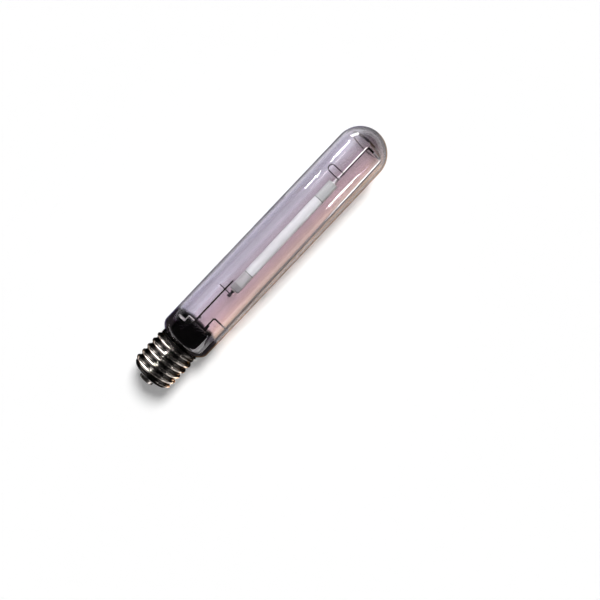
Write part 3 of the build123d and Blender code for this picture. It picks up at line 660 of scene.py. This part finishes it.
# The stem: the b at which its tube is round, half the slit in the press, the press's edge
# and corner, the flare's edge, and its gap to the neck.
STEM_ROUND = 60.0
PRESS_SLIT = 0.6
PRESS_EDGE = 0.3
PRESS_CORNER = 1.0
FLARE_EDGE = 0.6
SEAL_GAP = 0.02


def bulb_side(inset):
    """Side of the bulb from the neck's end to the dome's start, moved in by inset."""
    neck = NECK_RADIUS - inset
    radius = BULB_RADIUS - inset
    corner = SHOULDER_TOP + inset * sqrt(2)
    return rounded(
        [
            (NECK_END, neck), (corner - (BULB_RADIUS - neck), neck), (corner - inset, radius),
            (DOME_START, radius),
        ],
        [NECK_BEND + inset, SHOULDER_BEND - inset],
        steps=16,
    )


def dome_side(inset, steps=40):
    """Quarter circle from the bulb's side to just short of the dome's tip."""
    angle = np.linspace(0, pi / 2, steps + 1)[1:]
    angle[-1] -= TIP_SHORT
    radius = BULB_RADIUS - inset
    return np.stack([DOME_START + radius * np.sin(angle), radius * np.cos(angle)], -1)


def bulb():
    """Turned wall: in from the dome's inner tip to the neck, then out to the outer tip."""
    inner = np.concatenate([bulb_side(BULB_WALL), dome_side(BULB_WALL)])[::-1]
    outer = np.concatenate([bulb_side(0.0), dome_side(0.0)])
    return turned(np.concatenate([inner, outer]), around=160)


def film_band():
    """Thin band in the inner skin of the bulb's wall, from the neck to past the film's edge."""
    top = np.linspace(FILM_BAND_STRAIGHT, FILM_BAND_HIGH, 8)

    def line(depth):
        inset = BULB_WALL - depth
        side = bulb_side(inset)
        side = side[(side[:, 0] > FILM_BAND_LOW) & (side[:, 0] < FILM_BAND_STRAIGHT)]
        return np.concatenate([side, np.stack([top, np.full(8, BULB_RADIUS - inset)], -1)])

    deep, shallow = (line(depth) for depth in FILM_SKIN)
    return turned(np.concatenate([deep, shallow[::-1]]), around=128)


def stem_rings():
    """Stem tube that spreads into the flare and is pinched flat into the press.

    A ring of radius r is y = r cos a and z = b tanh(r sin a / b), which is round for a
    large b and flat for a small one.
    """
    angle = np.linspace(0, 2 * pi, 96, endpoint=False)

    def rings(x, r, b):
        x, r, b = (np.asarray(v, float)[:, None] for v in (x, r, b))
        z = b * np.tanh(r * np.sin(angle) / b)
        return np.stack(np.broadcast_arrays(x, r * np.cos(angle), z), -1)

    drop = np.linspace(0, 1, 9)[1:]
    swell = 1 - np.sqrt(1 - drop**2)
    pinch = np.linspace(0, 1, 9)

    def side(radius, rim, rim_x, flat, full):
        flare_x = FLARE_TOP + (rim_x - FLARE_TOP) * drop[::-1]
        flare_r = radius + (rim - radius) * swell[::-1]
        ease = pinch**2 * (3 - 2 * pinch)
        inverse = 1 / STEM_ROUND + (1 / flat - 1 / STEM_ROUND) * ease
        x = np.concatenate([flare_x, [FLARE_TOP], PRESS_START + (full - PRESS_START) * pinch])
        r = np.concatenate([flare_r, np.full(10, radius)])
        return rings(x, r, np.concatenate([np.full(9, STEM_ROUND), 1 / inverse]))

    rim = NECK_RADIUS - BULB_WALL - SEAL_GAP
    bore = STEM_RADIUS - STEM_WALL
    outer = side(STEM_RADIUS, rim, NECK_END + BULB_WALL, PRESS_HALF, PRESS_FULL)
    inner = side(bore, rim - FLARE_EDGE, NECK_END, PRESS_SLIT, PRESS_FULL - STEM_WALL)
    top = rings(
        [PRESS_TOP - PRESS_CORNER, PRESS_TOP - PRESS_EDGE, PRESS_TOP],
        [STEM_RADIUS, STEM_RADIUS - PRESS_EDGE, STEM_RADIUS - PRESS_CORNER],
        [PRESS_HALF, PRESS_HALF - PRESS_EDGE, PRESS_HALF - PRESS_CORNER],
    )
    return np.concatenate([inner[::-1], outer, top])


piece("outer_bulb_glass", bulb(), BULB_GLASS, node="outer_bulb")
piece("getter_film", film_band(), FILM, ends="loop", sharp=60)
piece("stem_glass", stem_rings(), STEM_GLASS, node="stem")


# Arc tube

# The outline of a turned wall opens and closes this far apart, halfway along it, and a
# solid one starts this far from its axis.
OUTLINE_GAP = 0.01
AXIS_GAP = 0.02
# The upper niobium tube's end inside the arc tube, and the lower one's with its pinch:
# where the pinch starts, is full, and ends, and how narrow it is.
NIOBIUM_HIGH_INSIDE = 223.5
NIOBIUM_LOW_INSIDE = 114.4
PINCH = (102.7, 103.6, 104.4, 105.3)
PINCH_RADIUS = 1.15
IGNITION_WIRE = 0.6
IGNITION_RINGS = {"lower_ignition_ring": 125.8, "upper_ignition_ring": 212.5}


def tube_profile(low, high, radius, bore, edge):
    """Closed outline of a tube's wall with its four edges rounded."""
    corners = [
        ((low + high) / 2, radius), (high, radius), (high, bore), (low, bore), (low, radius),
        ((low + high) / 2 - OUTLINE_GAP, radius),
    ]
    return rounded(corners, [edge] * 4, steps=4)


def pinched_profile():
    """Outline of the lower niobium tube, sealed at its end and pinched beside it."""
    ease_in, narrow, widen, ease_out = PINCH
    corners = [
        (NIOBIUM_LOW, AXIS_GAP), (NIOBIUM_LOW, NIOBIUM_RADIUS), (ease_in, NIOBIUM_RADIUS),
        (narrow, PINCH_RADIUS), (widen, PINCH_RADIUS), (ease_out, NIOBIUM_RADIUS),
        (NIOBIUM_LOW_INSIDE, NIOBIUM_RADIUS), (NIOBIUM_LOW_INSIDE, AXIS_GAP),
    ]
    return rounded(corners, [0.3, 0.4, 0.5, 0.5, 0.4, 0.2], steps=5)


def ring_wire(x, radius, diameter):
    """Round wire bent into a closed ring about the axis."""
    angle = np.linspace(0, 2 * pi, 16, endpoint=False)
    across = np.stack([np.cos(angle), np.sin(angle)], -1) * diameter / 2
    return turned(across + (x, radius), 64)


arc_rings = leaned(turned(tube_profile(ARC_START, ARC_END, ARC_RADIUS, ARC_BORE, 0.2), 64))
piece("arc_tube_wall", arc_rings, ALUMINA, ends="loop", node="arc_tube")
open_tube = tube_profile(NIOBIUM_HIGH_INSIDE, NIOBIUM_HIGH, NIOBIUM_RADIUS, NIOBIUM_BORE, 0.1)
open_rings = leaned(turned(open_tube, 32))
piece("upper_niobium_wall", open_rings, NIOBIUM, ends="loop", node="upper_niobium_tube")
pinched_rings = leaned(turned(pinched_profile(), 32))
piece("lower_niobium_wall", pinched_rings, SEALED, node="lower_niobium_tube")

IGNITION_REACH = ARC_RADIUS + IGNITION_WIRE / 2
for name, x in IGNITION_RINGS.items():
    ring = ring_wire(x, IGNITION_REACH, IGNITION_WIRE)
    piece(name, leaned(ring), IGNITION, ends="loop")
run = wire_rings([(x, 0, -IGNITION_REACH) for x in IGNITION_RINGS.values()], IGNITION_WIRE, 12)
piece("ignition_run", leaned(run), IGNITION, node="ignition_wire")


# Wires: their sizes, and their places along the lamp and across it

FRAME_DIA = 2.1
FRAME_BEND = 2.3
FRAME_TOP = 274.0
FRAME_FOOT = 234.8
LINK_DIA = 1.45
LINK_BEND = 1.8
LINK_LOW = 65.2
LINK_HIGH = 78.4
LINK_END_Y = -19.2
# The link lies beside the right lead-in and above it.
LINK_ASIDE = 1.0
RIGHT_LEAD_DIA = 1.9
RIGHT_LEAD_Y = -7.4
LEFT_LEAD_DIA = 1.8
LEFT_LEAD_Y = 4.0
LEFT_LEAD_END_Y = 2.1
LEFT_LEAD_BEND = 0.95
LEAD_LOW = 46.0
LEAD_HIGH = 70.6
SUPPORT_DIA = 1.45
SUPPORT_LOW = 65.2
SUPPORT_HIGH = 112.5
CROSS_DIA = 0.9
CROSS_X = 102.6
CROSS_Y = (10.4, -0.5)
# Two welded wires sink into each other by this much.
WELD = 0.05

LINK_Y = RIGHT_LEAD_Y + LINK_ASIDE
LINK_DEPTH = sqrt(((RIGHT_LEAD_DIA + LINK_DIA) / 2 - WELD) ** 2 - LINK_ASIDE**2)
SUPPORT_DEPTH = (LEFT_LEAD_DIA + SUPPORT_DIA) / 2 - WELD
CROSS_DEPTH = SUPPORT_DEPTH - (SUPPORT_DIA + CROSS_DIA) / 2 + WELD

FRAME_PATH = rounded(
    [(*ROD_LOW, 0), (*ROD_HIGH, 0), (FRAME_TOP, ARC_Y, 0), (FRAME_FOOT, ARC_Y, 0)],
    [FRAME_BEND, FRAME_BEND],
)
LINK_PATH = rounded(
    [
        (LINK_LOW, LINK_Y, LINK_DEPTH), (LINK_HIGH, LINK_Y, LINK_DEPTH),
        (LINK_HIGH, LINK_END_Y, LINK_DEPTH),
    ],
    [LINK_BEND],
)
LEFT_LEAD_PATH = rounded(
    [(LEAD_LOW, LEFT_LEAD_Y, 0), (LEAD_HIGH, LEFT_LEAD_Y, 0), (LEAD_HIGH, LEFT_LEAD_END_Y, 0)],
    [LEFT_LEAD_BEND],
    steps=8,
)
RIGHT_LEAD_PATH = [(LEAD_LOW, RIGHT_LEAD_Y, 0), (LEAD_HIGH, RIGHT_LEAD_Y, 0)]
SUPPORT_PATH = [(SUPPORT_LOW, LEFT_LEAD_Y, SUPPORT_DEPTH), (SUPPORT_HIGH, LEFT_LEAD_Y, SUPPORT_DEPTH)]
CROSS_PATH = [(CROSS_X, y, CROSS_DEPTH) for y in CROSS_Y]

frame_rings = wire_rings(FRAME_PATH, FRAME_DIA, 28)
piece("frame_rod", frame_rings, FRAME_WIRE, node="frame_wire")
for name, wire, diameter, node in (
    ("frame_link_wire", LINK_PATH, LINK_DIA, "frame_link"),
    ("left_lead_wire", LEFT_LEAD_PATH, LEFT_LEAD_DIA, "left_lead_in"),
    ("right_lead_wire", RIGHT_LEAD_PATH, RIGHT_LEAD_DIA, "right_lead_in"),
    ("support_wire", SUPPORT_PATH, SUPPORT_DIA, "support_rod"),
    ("cross_bar", CROSS_PATH, CROSS_DIA, "cross_wire"),
):
    piece(name, wire_rings(wire, diameter), WIRE, node=node)

LOOP_DIA = 1.0
LOOP_BEND = 3.3
LOOP_X = 239.5
LOOP_Y = 8.6
LOOP_Z = 1.775
# Half of the loop's rise from its upper leg to its lower one, and each leg's end.
LOOP_RISE = 0.275
LOOP_ENDS_Y = (-1.6, -3.0)


def loop_path():
    """Two straight legs joined by a half circle, rising from one leg to the other.

    At angle a of the half circle, x = r sin a, y = r cos a and z falls as sin a.
    """
    angle = np.linspace(-pi / 2, pi / 2, 33)
    x = LOOP_X + LOOP_BEND * np.sin(angle)
    y = LOOP_Y + LOOP_BEND * np.cos(angle)
    z = LOOP_Z - LOOP_RISE * np.sin(angle)
    bend = np.stack([x, y, z], -1)
    first = [(LOOP_X - LOOP_BEND, LOOP_ENDS_Y[0], LOOP_Z + LOOP_RISE)]
    last = [(LOOP_X + LOOP_BEND, LOOP_ENDS_Y[1], LOOP_Z - LOOP_RISE)]
    return np.concatenate([first, bend, last])


piece("loop_wire", wire_rings(loop_path(), LOOP_DIA), LOOP_WIRE, node="expansion_loop")

# The hoop: its circle, its opening, the strip's half width, half thickness and edge,
# and how far the strip is tilted from lying along the axis.
HOOP_X = 273.9
HOOP_Y = 1.1
HOOP_RADIUS = 15.15
HOOP_OPENING = 1.0
HOOP_HALF_WIDTH = 1.3
HOOP_HALF_THICK = 0.15
HOOP_EDGE = 0.06
HOOP_DISH = radians(55)


def hoop_rings():
    """Strip bent into an arc about the axis and dished, open where the frame wire passes.

    Across the strip a point lies at s along (cos d, sin d) in X and radius, and through
    it at t along (-sin d, cos d), where d is the dish.
    """
    gap = HOOP_OPENING / HOOP_RADIUS
    angle = np.linspace(gap, 2 * pi - gap, 97)[:, None] - pi / 2
    wide, thick = HOOP_HALF_WIDTH, HOOP_HALF_THICK
    corners = [(wide, -thick), (wide, thick), (-wide, thick), (-wide, -thick)]
    s, t = rounded([(0, -thick), *corners, (0, -thick)], [HOOP_EDGE] * 4, steps=3)[:-1].T
    x = HOOP_X + s * cos(HOOP_DISH) - t * sin(HOOP_DISH)
    r = HOOP_RADIUS + s * sin(HOOP_DISH) + t * cos(HOOP_DISH)
    return np.stack(np.broadcast_arrays(x, HOOP_Y + r * np.cos(angle), r * np.sin(angle)), -1)


piece("hoop_strip", hoop_rings(), STRIP, node="dome_ring")


# Getter

# The channel's open edge, floor and back along the lamp, and its four radii outwards.
CHANNEL_EDGE = 59.2
CHANNEL_FLOOR = 59.9
CHANNEL_BACK = 60.6
CHANNEL_RADII = (2.65, 2.9, 3.5, 3.75)
STALK_DIA = 0.7
STALK_X = 65.3
STALK_Y = (4.6, 10.8)
STALK_END = 60.5
STALK_BEND = 0.8


def channel_profile():
    """Outline of the ring-shaped channel, open towards the cap."""
    inner, floor_in, floor_out, outer = CHANNEL_RADII
    return [
        (CHANNEL_BACK, inner), (CHANNEL_BACK, outer), (CHANNEL_EDGE, outer),
        (CHANNEL_EDGE, floor_out), (CHANNEL_FLOOR, floor_out), (CHANNEL_FLOOR, floor_in),
        (CHANNEL_EDGE, floor_in), (CHANNEL_EDGE, inner),
    ]


channel_rings = turned(channel_profile(), 64, y=GETTER_Y)
piece("getter_channel", channel_rings, GETTER, ends="loop", node="getter_ring")
STALK_PATH = rounded(
    [(STALK_X, STALK_Y[0], 0), (STALK_X, STALK_Y[1], 0), (STALK_END, STALK_Y[1], 0)],
    [STALK_BEND],
    steps=8,
)
stalk_rings = wire_rings(STALK_PATH, STALK_DIA, 14)
piece("getter_stalk_wire", stalk_rings, GETTER, node="getter_stalk")


# Cap

# The thread grows to its full height between these distances from the root's start.
RUN_IN = (-0.4, 2.2)
# How far up the shell's lip reaches inside, and its radii there and at its mouth.
LIP_DEPTH = 0.7
LIP_BORE = SHELL_LIP + 0.35
LIP_MOUTH = SHELL_LIP + 0.2
# The lip ends and the rim starts this far from the thread's first and last ring.
ROOT_GAP = 0.05
BAND_RISE = 0.3
# The shell's bore ends just past the black glass's shoulder. The glass's cone then runs
# from its foot to its rim, with a hole through the middle.
BORE_END = SHELL_BOTTOM + 2.6
SHOULDER_X = SHELL_BOTTOM + 2.5
INSULATOR_FOOT = (4.3, 11.2)
INSULATOR_RIM = 7.4
INSULATOR_HOLE = 0.6


def knuckle_height(distance):
    """Height of the thread above its root at a distance along the axis from a crest.

    The crest and the root are arcs of one radius that meet at a quarter of the pitch.
    """
    depth = THREAD_MAJOR - THREAD_MINOR
    radius = ((THREAD_PITCH / 2) ** 2 + depth**2) / (4 * depth)
    crest = depth - radius + np.sqrt(np.maximum(radius**2 - distance**2, 0))
    root = radius - np.sqrt(np.maximum(radius**2 - (THREAD_PITCH / 2 - distance) ** 2, 0))
    return np.where(distance < THREAD_PITCH / 4, crest, root)


def eased(value, low, high):
    """Zero below low, one above high, and 3 s^2 - 2 s^3 between."""
    share = np.clip((value - low) / (high - low), 0, 1)
    return share**2 * (3 - 2 * share)


def shell_rings(along=300, around=168):
    """Rolled shell: the knuckle goes round as a right-handed helix on a root cylinder.

    At angle a the nearest crest lies at CREST_AT + pitch (a / 2 pi + n). The knuckle
    sinks into the wall at both ends.
    """
    angle = np.linspace(0, 2 * pi, around, endpoint=False)
    root_start = SHELL_BOTTOM + THREAD_MINOR - SHELL_LIP - LIP_FACE
    x = np.linspace(root_start, THREAD_END, along)[:, None]
    phase = (x - CREST_AT - THREAD_PITCH * angle / (2 * pi)) / THREAD_PITCH
    distance = np.abs(phase - np.round(phase)) * THREAD_PITCH
    run_in = eased(x, root_start + RUN_IN[0], root_start + RUN_IN[1])
    run_out = 1 - eased(x, THREAD_END - RUNOUT_LENGTH, THREAD_END)
    radius = THREAD_MINOR + knuckle_height(distance) * run_in * run_out
    thread = np.stack(np.broadcast_arrays(x, radius * np.cos(angle), radius * np.sin(angle)), -1)
    lip = rounded(
        [
            (SHELL_BOTTOM + LIP_DEPTH, LIP_BORE), (SHELL_BOTTOM, LIP_MOUTH),
            (SHELL_BOTTOM, SHELL_LIP + LIP_FACE), (root_start - ROOT_GAP, THREAD_MINOR - ROOT_GAP),
        ],
        [0.1, 0.8],
        steps=5,
    )
    rim = rounded(
        [
            (THREAD_END + ROOT_GAP, THREAD_MINOR), (SHELL_RIM - RIM_BAND, RIM_RADIUS - ROOT_GAP),
            (SHELL_RIM - RIM_BAND + BAND_RISE, RIM_RADIUS), (SHELL_RIM, RIM_RADIUS),
            (SHELL_RIM, SHELL_BORE), (BORE_END, SHELL_BORE),
        ],
        [0.1, 0.2, 0.2, 0.2],
        steps=4,
    )
    return np.concatenate([turned(lip, around), thread, turned(rim, around)])


def insulator_profile():
    """Outline of the black glass: a plug in the shell with a cone down to the contact."""
    corners = [
        (INSULATOR_TOP, INSULATOR_HOLE), (INSULATOR_TOP, SHELL_BORE), (SHOULDER_X, SHELL_BORE),
        (SHELL_BOTTOM, SHELL_LIP), INSULATOR_FOOT, (CONTACT_HEIGHT, INSULATOR_RIM),
        (CONTACT_HEIGHT, SPIGOT_RADIUS), (SPIGOT_TOP, SPIGOT_RADIUS), (SPIGOT_TOP, INSULATOR_HOLE),
    ]
    return rounded(corners, [0.3, 0.3, 0.3, 2.0, 0.5, 0.1, 0.1], steps=6)


def button_profile():
    """Outline of the contact button, with its spigot in the black glass."""
    corners = [
        (SPIGOT_TOP, CONTACT_HOLE), (SPIGOT_TOP, SPIGOT_RADIUS), (CONTACT_HEIGHT, SPIGOT_RADIUS),
        (CONTACT_HEIGHT, CONTACT_RADIUS), (0, CONTACT_RADIUS), (0, CONTACT_HOLE),
    ]
    return rounded(corners, [0.1, 0.1, 0.15, 0.9], steps=8)


piece("cap_shell_plate", shell_rings(), NICKEL, ends="loop", sharp=50, node="cap_shell")
plug_rings = turned(insulator_profile())
piece("cap_insulator_glass", plug_rings, VITRITE, ends="loop", node="cap_insulator")
button_rings = turned(button_profile())
piece("contact_button", button_rings, CONTACT, ends="loop", node="centre_contact")


# Small parts inside, which keep the solids' own meshes

for finish, nodes in (
    (STEM_GLASS, ["exhaust_tube"]),
    (ALUMINA, ["lower_plug", "upper_plug"]),
    (FRIT, ["lower_frit", "upper_frit"]),
    (TUNGSTEN, ["lower_electrode", "upper_electrode", "lower_coil", "upper_coil"]),
    (SOLDER, ["contact_solder", "side_solder"]),
    (CEMENT, ["cap_cement"]),
    (LEAD_OUT, ["centre_lead_out", "side_lead_out"]),
):
    for node in nodes:
        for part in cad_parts[node].material_slots:
            part.material = finish


# Studio, in metres

CAMERA_PLACE = (0.1397, -0.0485, 0.55)
CAMERA_ROLL = radians(-46.5)
CAMERA_VIEW = 0.5106
SENSOR_MM = 36.0

FLOOR_GLOW = 0.25
FLOOR_REACH = 6.0
FLOOR_SIDES = 64
FLOOR_DROP = 0.0003
BOARD_LIFT = 0.0002
# The white walls fade into the ceiling between these heights of a ray's direction.
WALL_FADE = {"From Min": 0.10, "From Max": 0.22}
CEILING = 0.04
# A count of bounces below this is none.
NO_BOUNCE = 0.5

scene = bpy.context.scene
scene.view_settings.view_transform = "Standard"

camera = bpy.data.cameras.new("camera")
camera.sensor_width = SENSOR_MM
camera.lens = SENSOR_MM * CAMERA_PLACE[2] / CAMERA_VIEW
camera_object = bpy.data.objects.new("camera", camera)
camera_object.location = CAMERA_PLACE
camera_object.rotation_euler = (0, 0, CAMERA_ROLL)
scene.collection.objects.link(camera_object)
scene.camera = camera_object


def studio_floor():
    """Pale painted board, white to the eye, with the object's shadow on it."""
    material, tree = new_material("pale_floor")
    ray = add(tree, "LightPath").outputs
    eye = add(tree, "Math", {0: ray["Is Camera Ray"], 1: ray["Is Glossy Ray"]}, operation="ADD")
    seen = add(tree, "Math", {0: eye, 1: ray["Is Transmission Ray"]}, operation="ADD")
    direct = add(tree, "Math", {0: ray["Diffuse Depth"], 1: NO_BOUNCE}, operation="LESS_THAN")
    shown = add(tree, "Math", {0: seen, 1: direct}, operation="MULTIPLY")
    glow = add(tree, "Math", {0: shown, 1: FLOOR_GLOW}, operation="MULTIPLY")
    body = add(
        tree,
        "BsdfPrincipled",
        {
            "Base Color": linear("#e6e6e6"), "Roughness": 1.0, "Specular IOR Level": 0.0,
            "Emission Color": (1, 1, 1, 1), "Emission Strength": glow,
        },
    )
    add(tree, "OutputMaterial", {0: body})
    return material


def studio_world():
    """White walls up to a dim ceiling. The eye meets white, also straight through glass."""
    world = bpy.data.worlds.new("studio")
    world.use_nodes = True
    tree = world.node_tree
    tree.nodes.clear()
    direction = add(tree, "TexCoord")
    height = add(tree, "SeparateXYZ", {0: direction.outputs["Generated"]})
    fade = {"Value": height.outputs[2], **WALL_FADE, "To Min": 1.0, "To Max": CEILING}
    wall = add(tree, "MapRange", fade, **SMOOTH)
    ray = add(tree, "LightPath").outputs
    bounces = add(tree, "Math", {0: ray["Diffuse Depth"], 1: ray["Glossy Depth"]}, operation="ADD")
    direct = add(tree, "Math", {0: bounces, 1: NO_BOUNCE}, operation="LESS_THAN")
    through = add(tree, "Math", {0: ray["Is Transmission Ray"], 1: direct}, operation="MULTIPLY")
    seen = add(tree, "Math", {0: ray["Is Camera Ray"], 1: through}, operation="MAXIMUM")
    strength = add(tree, "Math", {0: seen, 1: wall}, operation="MAXIMUM")
    background = add(tree, "Background", {"Color": (1, 1, 1, 1), "Strength": strength})
    add(tree, "OutputWorld", {0: background})
    return world


floor_mesh = bpy.data.meshes.new("studio_floor")
angle = np.linspace(0, 2 * pi, FLOOR_SIDES, endpoint=False)
level = np.full(FLOOR_SIDES, FLOOR_Z * MM - FLOOR_DROP)
disc = np.stack([FLOOR_REACH * np.cos(angle), FLOOR_REACH * np.sin(angle), level], -1)
floor_mesh.from_pydata(disc.tolist(), [], [list(range(FLOOR_SIDES))])
floor_mesh.materials.append(studio_floor())
floor = bpy.data.objects.new("studio_floor", floor_mesh)
scene.collection.objects.link(floor)
scene.world = studio_world()


def lamp(name, kind, towards, place=(0, 0, 0)):
    """Lamp at a place that shines against the direction given."""
    light = bpy.data.lights.new(name, kind)
    made = bpy.data.objects.new(name, light)
    made.location = place
    x, y, z = towards
    made.rotation_euler = (acos(z / sqrt(x * x + y * y + z * z)), 0, np.arctan2(y, x) + pi / 2)
    scene.collection.objects.link(made)
    return light, made


def card(name, place, aim, size, radiance, shape="RECTANGLE"):
    """Lit card at a place, facing aim, that shows in gloss alone.

    A card's power is 4 times its area times its radiance, as an area lamp counts it.
    """
    light, made = lamp(name, "AREA", [p - a for p, a in zip(place, aim)], place)
    light.shape = shape
    light.size, light.size_y = size
    light.energy = 4 * size[0] * size[1] * radiance
    made.visible_camera = False
    made.visible_diffuse = False
    return made


# The key is soft and high, from the dome's side, so the shadow gathers at the cap.
KEY_FROM = (0.50, 0.11, 0.80)
KEY_STRENGTH = 3.3
KEY_WIDTH = radians(20)

key, key_object = lamp("key", "SUN", KEY_FROM)
key.energy = KEY_STRENGTH
key.angle = KEY_WIDTH
key.cycles.use_multiple_importance_sampling = False
key_object.visible_glossy = False

DOME_END = (0.25, 0, 0)
CAP_END = (0.02, 0, 0)
OVER_LEFT_CARD = (-0.045, 0.065, 1.0)
OVER_RIGHT_CARD = (-0.035, -0.058, 1.0)
# Each card's name, place, what it faces, width and height, radiance, and shape if round.
CARDS = [
    ("left_strip_high", (0.492, 1.0, 0.45), DOME_END, (0.066, 0.12), 40),
    ("left_strip_low", (0.386, 1.0, 0.45), DOME_END, (0.058, 0.10), 40),
    ("shoulder_card", (0.80, 0.90, 0.17), DOME_END, (0.42, 0.26), 9),
    ("right_strip", (0.4275, -1.0, 0.554), DOME_END, (0.125, 0.12), 34, "ELLIPSE"),
    ("right_panel", (-0.505, -1.0, 0.19), CAP_END, (0.83, 0.44), 3.8),
    ("left_panel", (0.62, 0.95, 0.95), DOME_END, (0.60, 1.70), 9.0),
    ("cap_card", (-0.11, 0.09, 0.045), CAP_END, (0.15, 0.19), 17.0, "ELLIPSE"),
    ("left_floor_card", (-0.045, 0.065, -0.0225), OVER_LEFT_CARD, (0.08, 0.14), 7.0),
    ("right_floor_card", (-0.035, -0.058, -0.0225), OVER_RIGHT_CARD, (0.08, 0.12), 6.5),
]
# These cards are flagged off from the glass, and light the metal alone.
FLAGGED = {
    "frame_metal": (["frame_rod", "hoop_strip", "upper_niobium_wall"], ["left_panel"]),
    "cap_metal": (["cap_shell_plate"], ["cap_card", "left_floor_card", "right_floor_card"]),
}

cards = {row[0]: card(*row) for row in CARDS}
cards["left_panel"].data.cycles.use_multiple_importance_sampling = False
for name, (parts, lights) in FLAGGED.items():
    lit = bpy.data.collections.new(name)
    for part in parts:
        lit.objects.link(bpy.data.objects[part])
    for light in lights:
        cards[light].light_linking.receiver_collection = lit

# The key's shadow is that of the glass and the cap: the thin parts inside leave none.
BLOCKERS = [
    "outer_bulb_glass", "getter_film", "cap_shell_plate", "cap_insulator_glass", "contact_button",
]

blockers = bpy.data.collections.new("shadow_casters")
for part in BLOCKERS:
    blockers.objects.link(bpy.data.objects[part])
key_object.light_linking.blocker_collection = blockers

# A snooted spot picks out the bright metal in the neck.
SPARK_FROM = (0.56, 0.26, 0.79)
SPARK_PLACE = (0.63, 0.27, 0.80)
SPARK_POWER = 800
SPARK_WIDTH = radians(2.6)
SPARK_FADE = 0.3
SPARK_RADIUS = 0.05

spark, spark_object = lamp("spark", "SPOT", SPARK_FROM, SPARK_PLACE)
spark.energy = SPARK_POWER
spark.spot_size = SPARK_WIDTH
spark.spot_blend = SPARK_FADE
spark.shadow_soft_size = SPARK_RADIUS
spark_object.visible_diffuse = False


def board(name, corners, shade, strength=1.0):
    """Flat board through four corners beside the lamp, which only gloss sees."""
    material, tree = new_material(name)
    glow = add(tree, "Emission", {"Color": linear(shade), "Strength": strength})
    add(tree, "OutputMaterial", {0: glow})
    mesh = bpy.data.meshes.new(name)
    mesh.from_pydata(corners, [], [(0, 1, 2, 3)])
    mesh.materials.append(material)
    made = bpy.data.objects.new(name, mesh)
    scene.collection.objects.link(made)
    made.visible_camera = False
    made.visible_diffuse = False
    made.visible_transmission = False
    made.visible_shadow = False


def flat(x, y):
    """Corners of a board on the floor that spans x and y."""
    z = FLOOR_Z * MM + BOARD_LIFT
    return [(x[0], y[0], z), (x[1], y[0], z), (x[1], y[1], z), (x[0], y[1], z)]


# The wall stands on the left of the neck, and the window's board lies on the right.
NECK_WALL = [(-0.30, 0.60, -0.03), (0.06, 0.60, -0.03), (0.06, 0.60, 0.30), (-0.30, 0.60, 0.30)]
WINDOW = [
    (-0.15, -1.0, -0.023), (-0.085, -1.0, -0.023), (0.045, -0.115, -0.023), (-0.02, -0.115, -0.023),
]
# Each board's name, corners, shade, and strength if lit.
BOARDS = [
    ("left_flag", flat((0.075, 0.20), (0.024, 0.10)), "#55535a"),
    ("left_dome_flag", flat((0.20, 0.29), (0.024, 0.044)), "#55535a"),
    ("right_board", flat((0.075, 0.29), (-0.10, -0.024)), "#c4a585"),
    ("dome_flag", flat((0.29, 0.40), (-0.10, 0.10)), "#6b6a70"),
    ("left_neck_flag", flat((-0.06, 0.075), (0.024, 0.60)), "#0c0b0d"),
    ("left_neck_wall", NECK_WALL, "#0c0b0d"),
    ("right_neck_flag", flat((-0.06, 0.075), (-0.115, -0.024)), "#2a2726"),
    ("window_board", WINDOW, "#ffffff", 2.6),
]
for row in BOARDS:
    board(*row)
